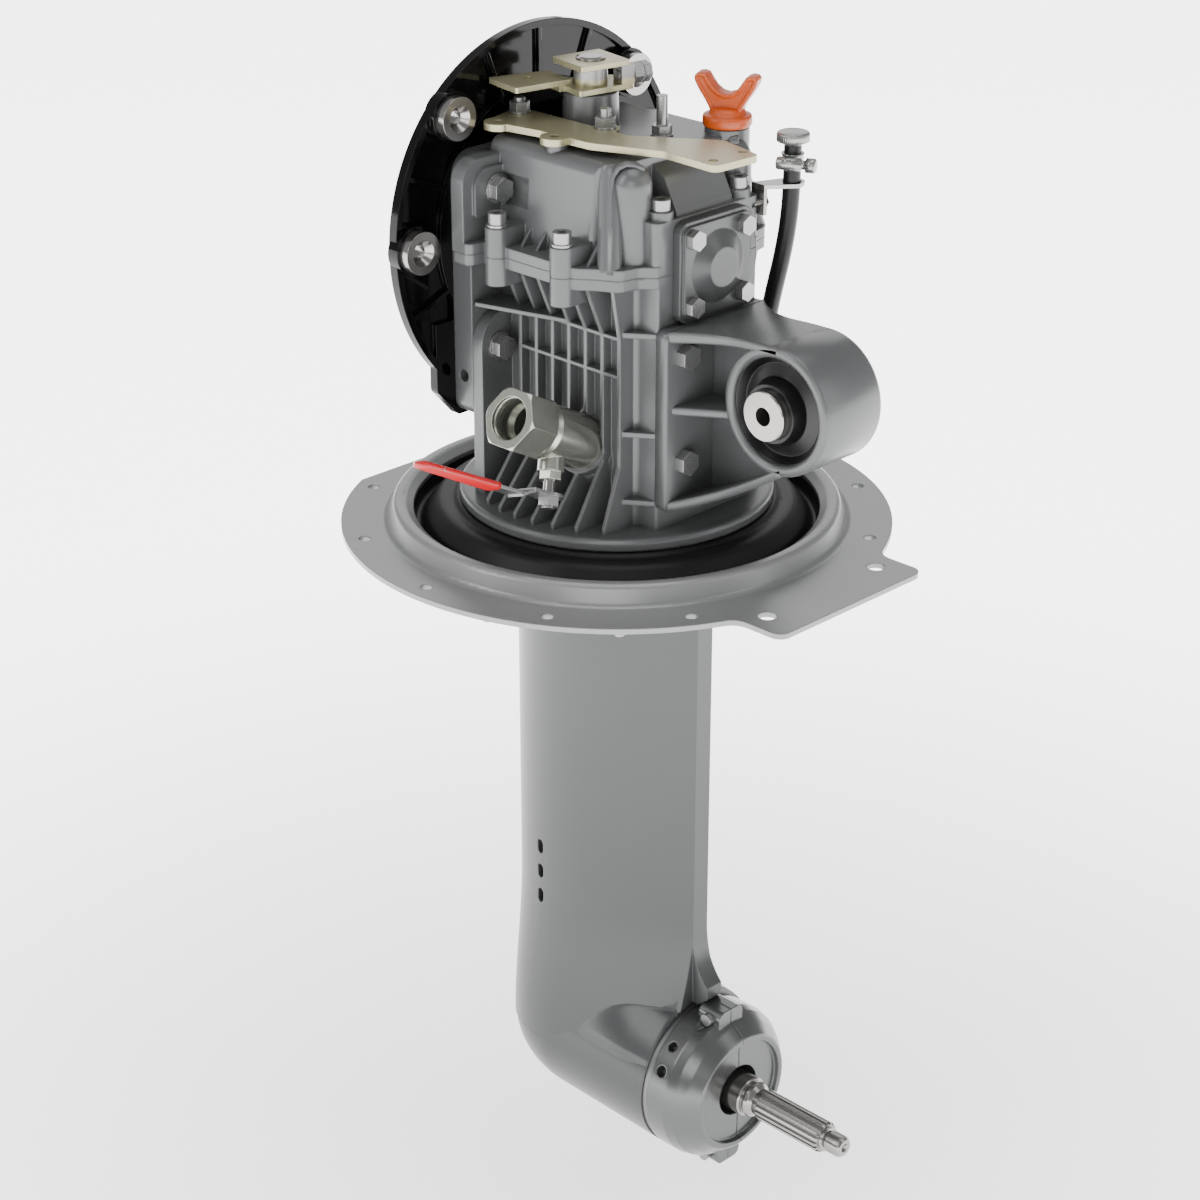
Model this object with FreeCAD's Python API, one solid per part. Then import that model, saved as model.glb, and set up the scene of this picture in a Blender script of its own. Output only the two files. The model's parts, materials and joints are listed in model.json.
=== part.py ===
import FreeCAD, Part
import math
import os

V = FreeCAD.Vector
os.makedirs("parts", exist_ok=True)

# Saildrive, in millimetres. +X points aft, +Y to starboard, +Z up.
# The origin is the centre of the hull ring's bolt circle, on the ring's upper face.

# Hull ring and its rubber seal
RING_R = 204.0
RING_T = 4.0
RING_BOLT_PCD = 380.0
RING_HOLES_FULL = 12
RING_HOLE_R = 4.5
RING_FLAT_X = -182.3
TAB_X = 229.5
TAB_HALF = 76.3
TAB_CORNER_R = 9.0
TAB_ROOT_R = 14.0
TAB_HOLE_X = 201.0
TAB_HOLE_Y = 58.0
TAB_HOLE_R = 6.5
BEAD_FOOT_R = 178.0
BEAD_TOP_Z = 15.0
OPENING_R = 150.2
CLAMP_IN_R = 152.0
CLAMP_OUT_R = 187.0
CLAMP_T = 4.0
CLAMP_STUD_R = 182.0
CLAMP_STUD_COUNT = 12
STUD6_R = 3.0
STUD6_NUT_AF = 10.0
STUD6_NUT_H = 5.0
MEMBRANE_IN_R = 99.0
MEMBRANE_T = 6.0

# Base of the lower housing, where the leg bolts on
BASE_R = 116.0
BASE_TOP = 27.0
BASE_BOT = 17.5
LEG_FLANGE_R = 110.0
LEG_FLANGE_T = 10.0
LEG_BOLT_R = 88.0
LEG_BOLT_ANGLES = (62, 90, 118, 242, 270, 298)

# Leg: a foil that widens into the gear case
LEG_NOSE_X = -92.0
LEG_TAIL_X = 91.0
LEG_TAIL_HALF = 8.0
LEG_HALF = 47.0
LEG_STRAIGHT_Z = -318.0
CASE_Z = -449.2
CASE_R = 61.0
CASE_AFT_R = 63.0
CASE_NOSE_X = -93.0
CASE_AFT_X = 90.0
CASE_BORE_R = 51.0
GEAR_ROOM_R = 45.0
SHAFT_WAY_R = 31.0
SEAT_BITE = 0.5
CROWN_HUB_LEN = 24.0
GEAR_ROOM_X0 = -32.0
CARRIER_X0 = 44.0
INLET_X = -38.0
INLET_Z = (-282.0, -304.0, -326.0)
INLET_W = 7.0
INLET_H = 12.0
WATER_X0 = -76.0
WATER_X1 = -37.0
WATER_HALF = 15.0
WATER_Z0 = -345.0

# Shafts and gears
CROWN_Z = 213.0
SHAFT_R = 12.5
FIT = 0.05
GAP = 0.4
MODULE = 3.0
PINION_TEETH = 17
CROWN_TEETH = 27
PROP_GEAR_TEETH = 25
FACE_W = 14.0
UPPER_SHAFT_TOP = 264.0
CLUTCH_R = 22.0
CLUTCH_HALF = 15.0
CLUTCH_TRAVEL = 5.0
ROD_R = 4.0
CROWN_BEARING_R = 33.0
CROWN_BEARING_W = 13.0
CROWN_HUB_R = 19.0
BEARING_R = 26.0
BEARING_W = 15.0
INPUT_BEARING_R = 30.0

# Propeller shaft
PROP_END_X = 242.4
SPLINE_X0 = 161.0
SPLINE_X1 = 224.0
SPLINE_R = 12.5
SPLINE_ROOT_R = 11.0
SPLINE_TEETH = 17
THREAD_R = 8.0
PROP_HUB_R = 16.0
PROP_HUB_X1 = 148.0

# Two-part anode collar round the propeller shaft
COLLAR_X0 = 95.0
COLLAR_X1 = 138.0
COLLAR_R = 63.0
COLLAR_FACE_R = 47.0
COLLAR_BORE_R = 21.0
COLLAR_SPLIT = 0.6
COLLAR_PAD_Z = 70.0

# Gearbox housings
HOUSING_X0 = -58.0
BODY_X1 = 60.0
BLOCK_X1 = 88.0
BLOCK_HALF = 52.0
LOWER_HALF = 59.0
UPPER_HALF = 71.0
UPPER_TOP = 288.0
BLOCK_TOP = 257.0
FLANGE_UP = 7.5
FLANGE_DOWN = 8.0
FLANGE_HALF = 91.5
LUG_HALF = 106.0
LUG_TOP = 278.0
LUG_T = 15.0
LOWER_LUG_HALF = 88.5
LOWER_LUG_TOP = 163.0
WALL = 8.0
RIB_X0 = -31.1
RIB_PITCH = 16.35
RIB_COUNT = 7
RIB_T = 3.0
RIB_REACH = 8.0
RIB_FOOT_R = 106.0
SIDE_SCREWS = ((-27.4, 91.0), (36.6, 91.0))
SIDE_BOSS_R = 8.8
SIDE_BOSS_TOP = 234.0
SIDE_BOSS_BOT = 192.5
BLOCK_SCREWS = (79.5, 39.0)
M8_HEAD_R = 6.5
M8_HEAD_H = 8.0
M8_R = 4.0
M10_AF = 16.0
M10_HEAD_H = 7.0
M10_R = 5.0
M10_WASHER_R = 10.5
M10_WASHER_T = 2.0
LUG_BOLTS = ((77.0, 255.0, -43.0), (72.0, 137.0, -48.0))

# Flange to the engine's bell housing
BELL_X0 = -84.4
BELL_T = 7.4
BELL_R = 141.3
BELL_BOLT_R = 125.4
BELL_SLEEVE_X = -66.0
BELL_SLEEVE_R = 15.5
BELL_SLEEVE_BORE_R = 5.25
BELL_SKIRT_HALF = 106.0
BELL_SKIRT_Z = 94.0
ADAPTER_HALF = 88.5
ADAPTER_Z0 = 83.0
ADAPTER_Z1 = 276.0

# Aft cover and rear mount
COVER_HALF = 36.0
COVER_T = 9.0
COVER_BOLT_Y = 25.5
COVER_BOLT_Z = 24.0
COVER_DOME_R = 26.0
COVER_DOME_TOP_R = 14.0
COVER_DOME_X = 103.0
COVER_SPIGOT_R = 21.0
BRACKET_T = 10.0
BRACKET_Z0 = 43.0
BRACKET_Z1 = 176.5
BRACKET_BOLTS = ((34.0, 156.0), (34.0, 78.0))
EYE_X = 177.2
EYE_Z = 134.1
EYE_R = 46.1
EYE_HALF = 29.4
EYE_BORE_R = 38.0
MOUNT_SLEEVE_R = 18.0
MOUNT_SLEEVE_HALF = 41.0
MOUNT_BORE_R = 6.5

# Raw-water ball valve; it leans up from the port side
VALVE_X = 30.0
VALVE_FOOT_Y = -66.0
VALVE_FOOT_Z = 82.0
VALVE_TILT = 28.0
VALVE_ROLL = 20.0
VALVE_LEN = 80.0
VALVE_BODY_R = 20.0
VALVE_HEX_AF = 41.0
VALVE_BORE_R = 15.5
BALL_R = 17.0
BALL_BORE_R = 11.5
BALL_AT = 32.0
STEM_R = 4.5
STEM_REACH = 52.0
HANDLE_LEN = 126.0
HANDLE_GRIP_FROM = 36.0
GRIP_R = 5.0
VALVE_BOSS_R = 22.5

# Shift gear on top
TOWER_X = -26.5
TOWER_R = 19.5
TOWER_TOP = 313.5
SHIFT_R = 9.0
SHIFT_TOP = 338.0
LEVER_T = 4.0
LEVER_Z = 318.5
CAP_Z = 336.0
LEVER_TURN = -11.0
LEVER_SWEEP = 70.0
CAM_R = 8.0
FORK_Z = 272.0
FORK_T = 3.4
PLATE_TOP = 297.0
PLATE_T = 5.0
STAY_NUT = (8.8, -21.2)
STAY_NUT_TIP = (-63.8, -33.6)
BREATHER = (28.5, 15.0)

# Dipstick and vent hose
DIP_X = 52.0
DIP_Y = 56.5
DIP_BOSS_R = 16.0
DIP_TOP = 292.0
DIP_LEN = 160.0
DIP_WAY_R = 3.2
HOSE_R = 6.25
HOSE_X = 99.0
HOSE_Y = 73.0
HOSE_ROUTE = ((99, 73, 284), (99, 73, 256), (97.5, 72.5, 229), (94.0, 70.5, 202), (89.0, 68.0, 176),
              (85.0, 66.5, 152), (81.0, 66.0, 133))
HOSE_ARM_Z = 258.0
STRAP_X = 85.0
HOSE_TAIL = 14.0
HOSE_BOSS_Y = 55.0


def box(x0, x1, y0, y1, z0, z1):
    return Part.makeBox(x1 - x0, y1 - y0, z1 - z0, V(x0, y0, z0))


def rod(start, direction, radius, length):
    return Part.makeCylinder(radius, length, start, direction)


def fuse(shapes):
    whole = shapes[0].multiFuse(shapes[1:]) if len(shapes) > 1 else shapes[0]
    return whole.removeSplitter()


def rounded_wire(points, radii):
    """Closed outline through points, each corner rounded by an arc of its own radius."""
    count = len(points)
    edges = []
    ends = []
    for i in range(count):
        before, here, after = points[i - 1], points[i], points[(i + 1) % count]
        r = radii[i] if isinstance(radii, (list, tuple)) else radii
        if r <= 0:
            ends.append((here, here, None))
            continue
        a = (before - here).normalize()
        b = (after - here).normalize()
        half = a.getAngle(b) / 2
        setback = r / math.tan(half)
        middle = here + (a + b).normalize() * (r / math.sin(half) - r)
        ends.append((here + a * setback, here + b * setback, middle))
    for i in range(count):
        first, last, middle = ends[i]
        if middle is not None:
            edges.append(Part.Arc(first, middle, last).toShape())
        following = ends[(i + 1) % count][0]
        if last.distanceToPoint(following) > 1e-6:
            edges.append(Part.makeLine(last, following))
    return Part.Wire(edges)


def prism_z(points, z0, z1, radii=0.0):
    wire = rounded_wire([V(x, y, z0) for x, y in points], radii)
    return Part.Face(wire).extrude(V(0, 0, z1 - z0))


def prism_x(points, x0, x1, radii=0.0):
    wire = rounded_wire([V(x0, y, z) for y, z in points], radii)
    return Part.Face(wire).extrude(V(x1 - x0, 0, 0))


def prism_y(points, y0, y1, radii=0.0):
    wire = rounded_wire([V(x, y0, z) for x, z in points], radii)
    return Part.Face(wire).extrude(V(0, y1 - y0, 0))


def turned(points, origin, axis):
    """Solid turned from (radius, height) points about an axis through origin."""
    profile = Part.makePolygon([V(r, 0, h) for r, h in points] + [V(points[0][0], 0, points[0][1])])
    solid = Part.Face(profile).revolve(V(0, 0, 0), V(0, 0, 1), 360)
    solid.Placement = FreeCAD.Placement(origin, FreeCAD.Rotation(V(0, 0, 1), axis))
    return solid


def mirrored(shape):
    return shape.mirror(V(0, 0, 0), V(0, 1, 0))


def both_sides(shape):
    return [shape, mirrored(shape)]


def hexagon(start, direction, across_flats, height):
    ring = [V(across_flats / math.sqrt(3) * math.cos(math.radians(60 * i)),
              across_flats / math.sqrt(3) * math.sin(math.radians(60 * i)), 0) for i in range(6)]
    solid = Part.Face(Part.makePolygon(ring + ring[:1])).extrude(V(0, 0, height))
    solid.Placement = FreeCAD.Placement(start, FreeCAD.Rotation(V(0, 0, 1), direction))
    return solid


def hex_bolt(seat, direction, across_flats, head_h, shank_r, shank_len, washer_r=0.0, washer_t=0.0):
    """Hex-head bolt with its head beyond the seat and its shank running back from it."""
    parts = [hexagon(seat + direction * washer_t, direction, across_flats, head_h),
             rod(seat + direction * (washer_t + 0.1), direction * -1, shank_r, shank_len + washer_t + 0.1)]
    if washer_t:
        parts.append(rod(seat, direction, washer_r, washer_t))
    return fuse(parts)


def socket_screw(seat, direction, shank_len):
    head = rod(seat, direction, M8_HEAD_R, M8_HEAD_H)
    head = head.cut(hexagon(seat + direction * (M8_HEAD_H - 4), direction, 6, 4.1))
    return fuse([head, rod(seat + direction * 0.1, direction * -1, M8_R, shank_len + 0.1)])


def bearing(start, direction, bore_r, outer_r, width):
    """Closed ball bearing: one ring with a shallow step on each side."""
    step = (outer_r - bore_r) * 0.3
    profile = [(bore_r, 0), (bore_r + step, 0), (bore_r + step, 1), (outer_r - step, 1),
               (outer_r - step, 0), (outer_r, 0), (outer_r, width), (outer_r - step, width),
               (outer_r - step, width - 1), (bore_r + step, width - 1), (bore_r + step, width),
               (bore_r, width)]
    return turned(profile, start, direction)


def save(name, shape):
    solids = shape.Solids
    whole = solids[0] if len(solids) == 1 else Part.makeCompound(solids)
    whole.exportStep(os.path.join("parts", name + ".step"))
    if not all(s.isValid() for s in solids):
        print("not valid:", name)
    print(name, len(solids), round(sum(s.Volume for s in solids)))


# Hull ring, membrane and clamp

def section_ring(points):
    """Ring turned about Z from a section given as (radius, height, corner radius)."""
    wire = rounded_wire([V(r, 0, z) for r, z, c in points], [c for r, z, c in points])
    return Part.Face(wire).revolve(V(0, 0, 0), V(0, 0, 1), 360)


def ring_bolt_points():
    radius = RING_BOLT_PCD / 2
    return [V(radius * math.cos(math.radians(a)), radius * math.sin(math.radians(a)), 0)
            for a in range(-150, 180, 30) if a != 0]


def make_hull_ring():
    disc = Part.makeCylinder(RING_R, RING_T, V(0, 0, -RING_T))
    disc = disc.cut(box(-2 * RING_R, RING_FLAT_X, -RING_R, RING_R, -2 * RING_T, RING_T))
    tab = prism_z([(0, -TAB_HALF), (TAB_X, -TAB_HALF), (TAB_X, TAB_HALF), (0, TAB_HALF)],
                  -RING_T, 0, [0, TAB_CORNER_R, TAB_CORNER_R, 0])
    plate = fuse([disc, tab])
    root_x = math.sqrt(RING_R ** 2 - TAB_HALF ** 2)
    roots = [e for e in plate.Edges if abs(e.CenterOfMass.x - root_x) < 0.5
             and abs(abs(e.CenterOfMass.y) - TAB_HALF) < 0.5 and e.Length < RING_T + 0.1]
    plate = plate.makeFillet(TAB_ROOT_R, roots)
    plate = plate.cut(Part.makeCylinder(BEAD_FOOT_R - 2, 3 * RING_T, V(0, 0, -2 * RING_T)))
    foot, lip, top = BEAD_FOOT_R, OPENING_R, BEAD_TOP_Z
    bead = section_ring([(foot, 0, 0), (foot - 7, 0, 5), (foot - 13.5, top, 5), (lip + 6.8, top, 6),
                         (lip, top - 5.5, 0.8), (lip, top - 10, 0.8), (lip + 7.9, top - 3.6, 3),
                         (foot - 16, top - 3.6, 1.5), (foot - 9.05, -RING_T, 7), (foot, -RING_T, 0)])
    holes = [rod(p + V(0, 0, -2 * RING_T), V(0, 0, 1), RING_HOLE_R, 3 * RING_T) for p in ring_bolt_points()]
    holes += [rod(V(TAB_HOLE_X, s * TAB_HOLE_Y, -2 * RING_T), V(0, 0, 1), TAB_HOLE_R, 3 * RING_T)
              for s in (-1, 1)]
    return fuse([plate, bead]).cut(Part.makeCompound(holes))


def make_membrane():
    """Rubber ring: inner bead under the base, a soft roll, and an outer bead under the hull ring."""
    inner, top, lip = MEMBRANE_IN_R, BASE_BOT, OPENING_R
    low = top - MEMBRANE_T
    return section_ring([(inner, top, 0), (BASE_R + 1.6, top, 2), (BASE_R + 5, top - 2.3, 4),
                         (131, top - 2.3, 9),
                         (141, 4, 8), (lip - 5.7, -5, 3), (lip - 1.2, -3, 3), (lip + 1.8, 6, 4),
                         (lip + 5.8, 8.3, 2), (lip + 11.8, 8.3, 2), (lip + 13.3, -RING_T, 0),
                         (lip + 5.8, -RING_T, 2), (lip + 1.8, -8.5, 4), (lip - 8.7, -10.5, 6), (136, -1, 6),
                         (127, low - 2.1, 8), (117, low, 4), (inner, low, 0)])


def make_clamp_ring():
    ring = turned([(CLAMP_IN_R, -CLAMP_T), (CLAMP_OUT_R, -CLAMP_T), (CLAMP_OUT_R, 0), (CLAMP_IN_R, 0)],
                  V(0, 0, -RING_T), V(0, 0, 1))
    ring = ring.cut(box(-2 * RING_R, RING_FLAT_X, -RING_R, RING_R, -3 * RING_T, RING_T))
    relief = turned([(0, -9), (lip_clear(), -9), (lip_clear(), 1), (0, 1)], V(0, 0, -RING_T), V(0, 0, 1))
    ring = ring.cut(relief)
    holes = []
    for i in range(RING_HOLES_FULL):
        a = math.radians(360 / RING_HOLES_FULL * i)
        holes.append(rod(V(RING_BOLT_PCD / 2 * math.cos(a), RING_BOLT_PCD / 2 * math.sin(a), -3 * RING_T),
                         V(0, 0, 1), RING_HOLE_R + 0.5, 3 * RING_T))
    studs = [rod(p + V(0, 0, -20), V(0, 0, 1), STUD6_R, 20) for p in clamp_stud_points()]
    return ring.cut(Part.makeCompound(holes + studs))


def lip_clear():
    return OPENING_R + 7


def clamp_stud_points():
    return [V(CLAMP_STUD_R * math.cos(math.radians(360 / CLAMP_STUD_COUNT * (i + 0.5))),
              CLAMP_STUD_R * math.sin(math.radians(360 / CLAMP_STUD_COUNT * (i + 0.5))), 0)
            for i in range(CLAMP_STUD_COUNT)]


def make_clamp_nuts():
    nuts = []
    under = -RING_T - CLAMP_T
    for p in clamp_stud_points():
        stud = rod(p + V(0, 0, under - STUD6_NUT_H - 2), V(0, 0, 1), STUD6_R, CLAMP_T + STUD6_NUT_H + 2)
        nuts.append(fuse([stud, hexagon(p + V(0, 0, under), V(0, 0, -1), STUD6_NUT_AF, STUD6_NUT_H)]))
    return Part.makeCompound(nuts)


# Leg and gear case

def foil_wire(z, nose, tail, half, tail_half, deepest=-20.0):
    """Foil outline at height z: an elliptic nose, then sides that close to a thin flat tail."""
    side = []
    for i in range(1, 6):
        t = i / 6.0
        side.append((tail + (deepest - tail) * t, half - (half - tail_half) * (1 - t) ** 1.8))
    for i in range(0, 5):
        t = math.radians(90 * i / 5.0)
        side.append((deepest - (deepest - nose) * math.sin(t), half * math.cos(t)))
    upper = [V(tail, tail_half, z)] + [V(x, y, z) for x, y in side] + [V(nose, 0, z)]
    lower = [V(x, -y, z) for x, y in reversed(side)] + [V(tail, -tail_half, z)]
    curve = Part.BSplineCurve()
    curve.interpolate(upper + lower)
    return Part.Wire([curve.toShape(), Part.makeLine(V(tail, -tail_half, z), V(tail, tail_half, z))])


def leg_foil(z_top):
    """The leg: one foil section down to the heel, then a loft that widens onto the gear case."""
    nose, tail, half, end = LEG_NOSE_X, LEG_TAIL_X, LEG_HALF, LEG_TAIL_HALF
    straight = Part.Face(foil_wire(LEG_STRAIGHT_Z, nose, tail, half, end))
    straight = straight.extrude(V(0, 0, z_top - LEG_STRAIGHT_Z))
    wires = []
    steps = 6
    for i in range(steps + 1):
        t = i / steps
        swell = t * t * (3 - 2 * t)
        wires.append(foil_wire(LEG_STRAIGHT_Z + (CASE_Z - LEG_STRAIGHT_Z) * t, nose - 1.5 * swell,
                               tail + 2 * swell, half + (CASE_R - 0.5 - half) * swell, end + 26 * swell))
    return [straight, Part.makeLoft(wires, True, False)]


def case_bullet():
    """Gear case: an elliptic nose that runs into a slowly widening barrel."""
    nose = []
    shoulder = -14.0
    for i in range(0, 7):
        t = math.radians(90 * i / 6.0)
        nose.append(V(shoulder - (shoulder - CASE_NOSE_X) * math.cos(t), 0, CASE_Z - CASE_R * math.sin(t)))
    curve = Part.BSplineCurve()
    curve.interpolate(nose)
    start, shoulder_pt = nose[0], nose[-1]
    end = V(CASE_AFT_X, 0, CASE_Z - CASE_AFT_R)
    centre = V(CASE_AFT_X, 0, CASE_Z)
    wire = Part.Wire([curve.toShape(), Part.makeLine(shoulder_pt, end), Part.makeLine(end, centre),
                      Part.makeLine(centre, start)])
    return Part.Face(wire).revolve(V(0, 0, CASE_Z), V(1, 0, 0), 360)


def leg_heel():
    """Thin web that sweeps aft from the foil's tail to the top of the gear case."""
    top = V(LEG_TAIL_X - 1, 0, -322)
    low = V(CASE_AFT_X + 17, 0, -366)
    mid = V(LEG_TAIL_X + 4.2, 0, -348)
    back = LEG_TAIL_X - 26
    arc = Part.Arc(top, mid, low).toShape()
    wire = Part.Wire([arc, Part.makeLine(low, V(CASE_AFT_X + 17, 0, -376)),
                      Part.makeLine(V(CASE_AFT_X + 17, 0, -376), V(CASE_AFT_X - 1, 0, -391)),
                      Part.makeLine(V(CASE_AFT_X - 1, 0, -391), V(back, 0, -391)),
                      Part.makeLine(V(back, 0, -391), V(back, 0, -322)),
                      Part.makeLine(V(back, 0, -322), top)])
    web = Part.Face(wire).extrude(V(0, 2 * LEG_TAIL_HALF, 0))
    web.translate(V(0, -LEG_TAIL_HALF, 0))
    return web


def leg_bolt_points():
    return [V(LEG_BOLT_R * math.cos(math.radians(a)), LEG_BOLT_R * math.sin(math.radians(a)), 0)
            for a in LEG_BOLT_ANGLES]


def make_leg():
    flange_top = BASE_BOT - MEMBRANE_T
    flange_low = flange_top - LEG_FLANGE_T
    flange = turned([(0, flange_low), (LEG_FLANGE_R - 3, flange_low), (LEG_FLANGE_R, flange_low + 3),
                     (LEG_FLANGE_R, flange_top), (MEMBRANE_IN_R, flange_top), (MEMBRANE_IN_R, BASE_BOT),
                     (0, BASE_BOT)], V(0, 0, 0), V(0, 0, 1))
    body = fuse([flange, case_bullet(), leg_heel()] + leg_foil(flange_low + 1))
    shaft_way = rod(V(0, 0, CASE_Z + 20), V(0, 0, 1), SHAFT_WAY_R, BASE_BOT - CASE_Z)
    gear_room = rod(V(GEAR_ROOM_X0, 0, CASE_Z), V(1, 0, 0), GEAR_ROOM_R, CARRIER_X0 - GEAR_ROOM_X0 + 1)
    carrier_way = rod(V(CARRIER_X0, 0, CASE_Z), V(1, 0, 0), CASE_BORE_R, 80)
    nose_seat = rod(V(GEAR_ROOM_X0 - BEARING_W, 0, CASE_Z), V(1, 0, 0), BEARING_R, BEARING_W + 1)
    pocket = rod(V(GEAR_ROOM_X0 - BEARING_W - 3, 0, CASE_Z), V(1, 0, 0), SHAFT_R + 3, 5)
    water = box(WATER_X0, WATER_X1, -WATER_HALF, WATER_HALF, WATER_Z0, BASE_BOT + 1)
    collar_room = rod(V(CASE_AFT_X, 0, CASE_Z), V(1, 0, 0), COLLAR_R + 2.5, 60)
    cuts = [shaft_way, gear_room, carrier_way, nose_seat, pocket, water, collar_room]
    for z in INLET_Z:
        low, high, r = z - INLET_H / 2, z + INLET_H / 2, INLET_W / 2
        slot = prism_y([(INLET_X - r, low), (INLET_X + r, low), (INLET_X + r, high), (INLET_X - r, high)],
                       0, LEG_HALF + 2, r - 0.01)
        cuts += both_sides(slot)
    cuts += [rod(p + V(0, 0, flange_low - 1), V(0, 0, 1), M10_R + 0.5, 40) for p in leg_bolt_points()]
    body = body.cut(Part.makeCompound(cuts))
    rim = SHAFT_WAY_R + SEAT_BITE
    seat = turned([(BEARING_R, 0), (rim, 0), (rim, 22), (SHAFT_R + 6, 22), (SHAFT_R + 6, BEARING_W),
                   (BEARING_R, BEARING_W)], V(0, 0, leg_bearing_z()), V(0, 0, 1))
    return fuse([body, seat])


def leg_bearing_z():
    return CASE_Z + prop_pair()[0] + 6


def make_leg_bolts():
    flange_low = BASE_BOT - MEMBRANE_T - LEG_FLANGE_T
    bolts = [hex_bolt(p + V(0, 0, flange_low), V(0, 0, -1), M10_AF, M10_HEAD_H, M10_R, 21,
                      M10_WASHER_R - 2, M10_WASHER_T) for p in leg_bolt_points()]
    return Part.makeCompound(bolts)


# Bevel gears

def crown_pair():
    """Distances from the crossing point to the large ends: crown gear, then input pinion."""
    return (PINION_TEETH * MODULE / 2, CROWN_TEETH * MODULE / 2)


def prop_pair():
    """Distances from the crossing point to the large ends: lower pinion, then propeller gear."""
    return (PROP_GEAR_TEETH * MODULE / 2, PINION_TEETH * MODULE / 2)


def tooth_ring(teeth, mate, scale, turn):
    """Toothed outline of a bevel gear at its large end, in the gear's own plane."""
    r = teeth * MODULE / 2
    away = mate * MODULE / 2
    pitch = math.atan2(r, away)
    cone = math.hypot(r, away)
    tip_r = away * math.tan(pitch + 0.75 * MODULE / cone)
    root_r = away * math.tan(pitch - 1.15 * MODULE / cone)
    step = 2 * math.pi / teeth
    thick = step / 2 - 0.55 / r
    tip_t = thick - 2 * 0.75 * MODULE * math.tan(math.radians(21)) / r
    root_t = thick + 2 * 1.15 * MODULE * math.tan(math.radians(17)) / r
    points = []
    for i in range(teeth):
        a = turn + i * step
        for radius, angle in ((root_r, a - root_t / 2), (tip_r, a - tip_t / 2),
                              (tip_r, a + tip_t / 2), (root_r, a + root_t / 2)):
            reach = radius * scale
            points.append(V(reach * math.cos(angle), reach * math.sin(angle), away * scale))
    return points


def bevel_gear(teeth, mate, turn, bore_r, hub_r, hub_len, apex, axis):
    """Straight bevel gear whose cone points at apex; its hub runs on away from the apex."""
    away = mate * MODULE / 2
    cone = math.hypot(away, teeth * MODULE / 2)
    small = (cone - FACE_W) / cone
    wires = []
    for scale in (small, 1.0):
        ring = tooth_ring(teeth, mate, scale, turn)
        wires.append(Part.makePolygon(ring + ring[:1]))
    body = Part.makeLoft(wires, True, True)
    hub = Part.makeCylinder(hub_r, hub_len, V(0, 0, away - 0.5))
    bore = Part.makeCylinder(bore_r, 4 * cone, V(0, 0, -cone))
    gear = fuse([body, hub]).cut(bore)
    flip = FreeCAD.Rotation(V(1, 0, 0), 180) if axis.z < 0 else FreeCAD.Rotation(V(0, 0, 1), axis)
    gear.Placement = FreeCAD.Placement(apex, flip)
    return gear


def make_input_pinion():
    return bevel_gear(PINION_TEETH, CROWN_TEETH, 0.0, SHAFT_R, 17.0, 4.5, V(0, 0, CROWN_Z), V(-1, 0, 0))


def make_crown(up):
    axis = V(0, 0, 1) if up else V(0, 0, -1)
    gear = bevel_gear(CROWN_TEETH, PINION_TEETH, crown_turn(up), SHAFT_R + FIT, CROWN_HUB_R,
                      CROWN_HUB_LEN, V(0, 0, CROWN_Z), axis)
    return gear


def crown_turn(up):
    """The input pinion has a tooth at its top and a gap at its foot, so the crowns face it the other way."""
    return math.pi + math.pi / CROWN_TEETH if up else math.pi


def make_input_shaft():
    x1 = -crown_pair()[1] + FACE_W
    profile = [(0, 0), (SHAFT_R, 0), (SHAFT_R, 62), (11.0, 62), (11.0, 96), (9.5, 98), (0, 98)]
    shaft = turned(profile, V(x1, 0, CROWN_Z), V(-1, 0, 0))
    grooves = []
    for i in range(10):
        a = 2 * math.pi * i / 10
        start = V(x1 - 70, 11.6 * math.cos(a), CROWN_Z + 11.6 * math.sin(a))
        grooves.append(rod(start, V(-1, 0, 0), 1.5, 40))
    return shaft.cut(Part.makeCompound(grooves))


def make_vertical_shaft():
    """Hollow upper end with a slot for the clutch's cross pin; one piece down to the lower pinion."""
    low = CASE_Z + prop_pair()[0] - FACE_W
    shaft = Part.makeCylinder(SHAFT_R, UPPER_SHAFT_TOP - low, V(0, 0, low))
    bore = Part.makeCylinder(ROD_R + GAP, UPPER_SHAFT_TOP - CROWN_Z + 16, V(0, 0, CROWN_Z - 14))
    half = CLUTCH_TRAVEL / 2 + 3.5
    slot = box(-3.4, 3.4, -20, 20, CROWN_Z - half - 0.5, CROWN_Z + half + 0.5)
    return shaft.cut(bore).cut(slot)


def make_lower_pinion():
    return bevel_gear(PINION_TEETH, PROP_GEAR_TEETH, 0.0, SHAFT_R, 17.0, 5.0, V(0, 0, CASE_Z), V(0, 0, 1))


def make_prop_gear():
    return bevel_gear(PROP_GEAR_TEETH, PINION_TEETH, 0.0, SHAFT_R, 20.0, 8.0, V(0, 0, CASE_Z), V(1, 0, 0))


def make_clutch():
    """Double-cone sleeve, down at the lower crown gear as the lever stands at its forward end."""
    c = CROWN_Z - CLUTCH_TRAVEL / 2
    h = CLUTCH_HALF
    profile = [(SHAFT_R + FIT, -h), (CLUTCH_R - 6, -h), (CLUTCH_R, -h + 7), (CLUTCH_R, h - 7),
               (CLUTCH_R - 6, h), (SHAFT_R + FIT, h)]
    sleeve = turned(profile, V(0, 0, c), V(0, 0, 1))
    return sleeve.cut(rod(V(0, -40, c), V(0, 1, 0), 3.0, 80))


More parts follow.
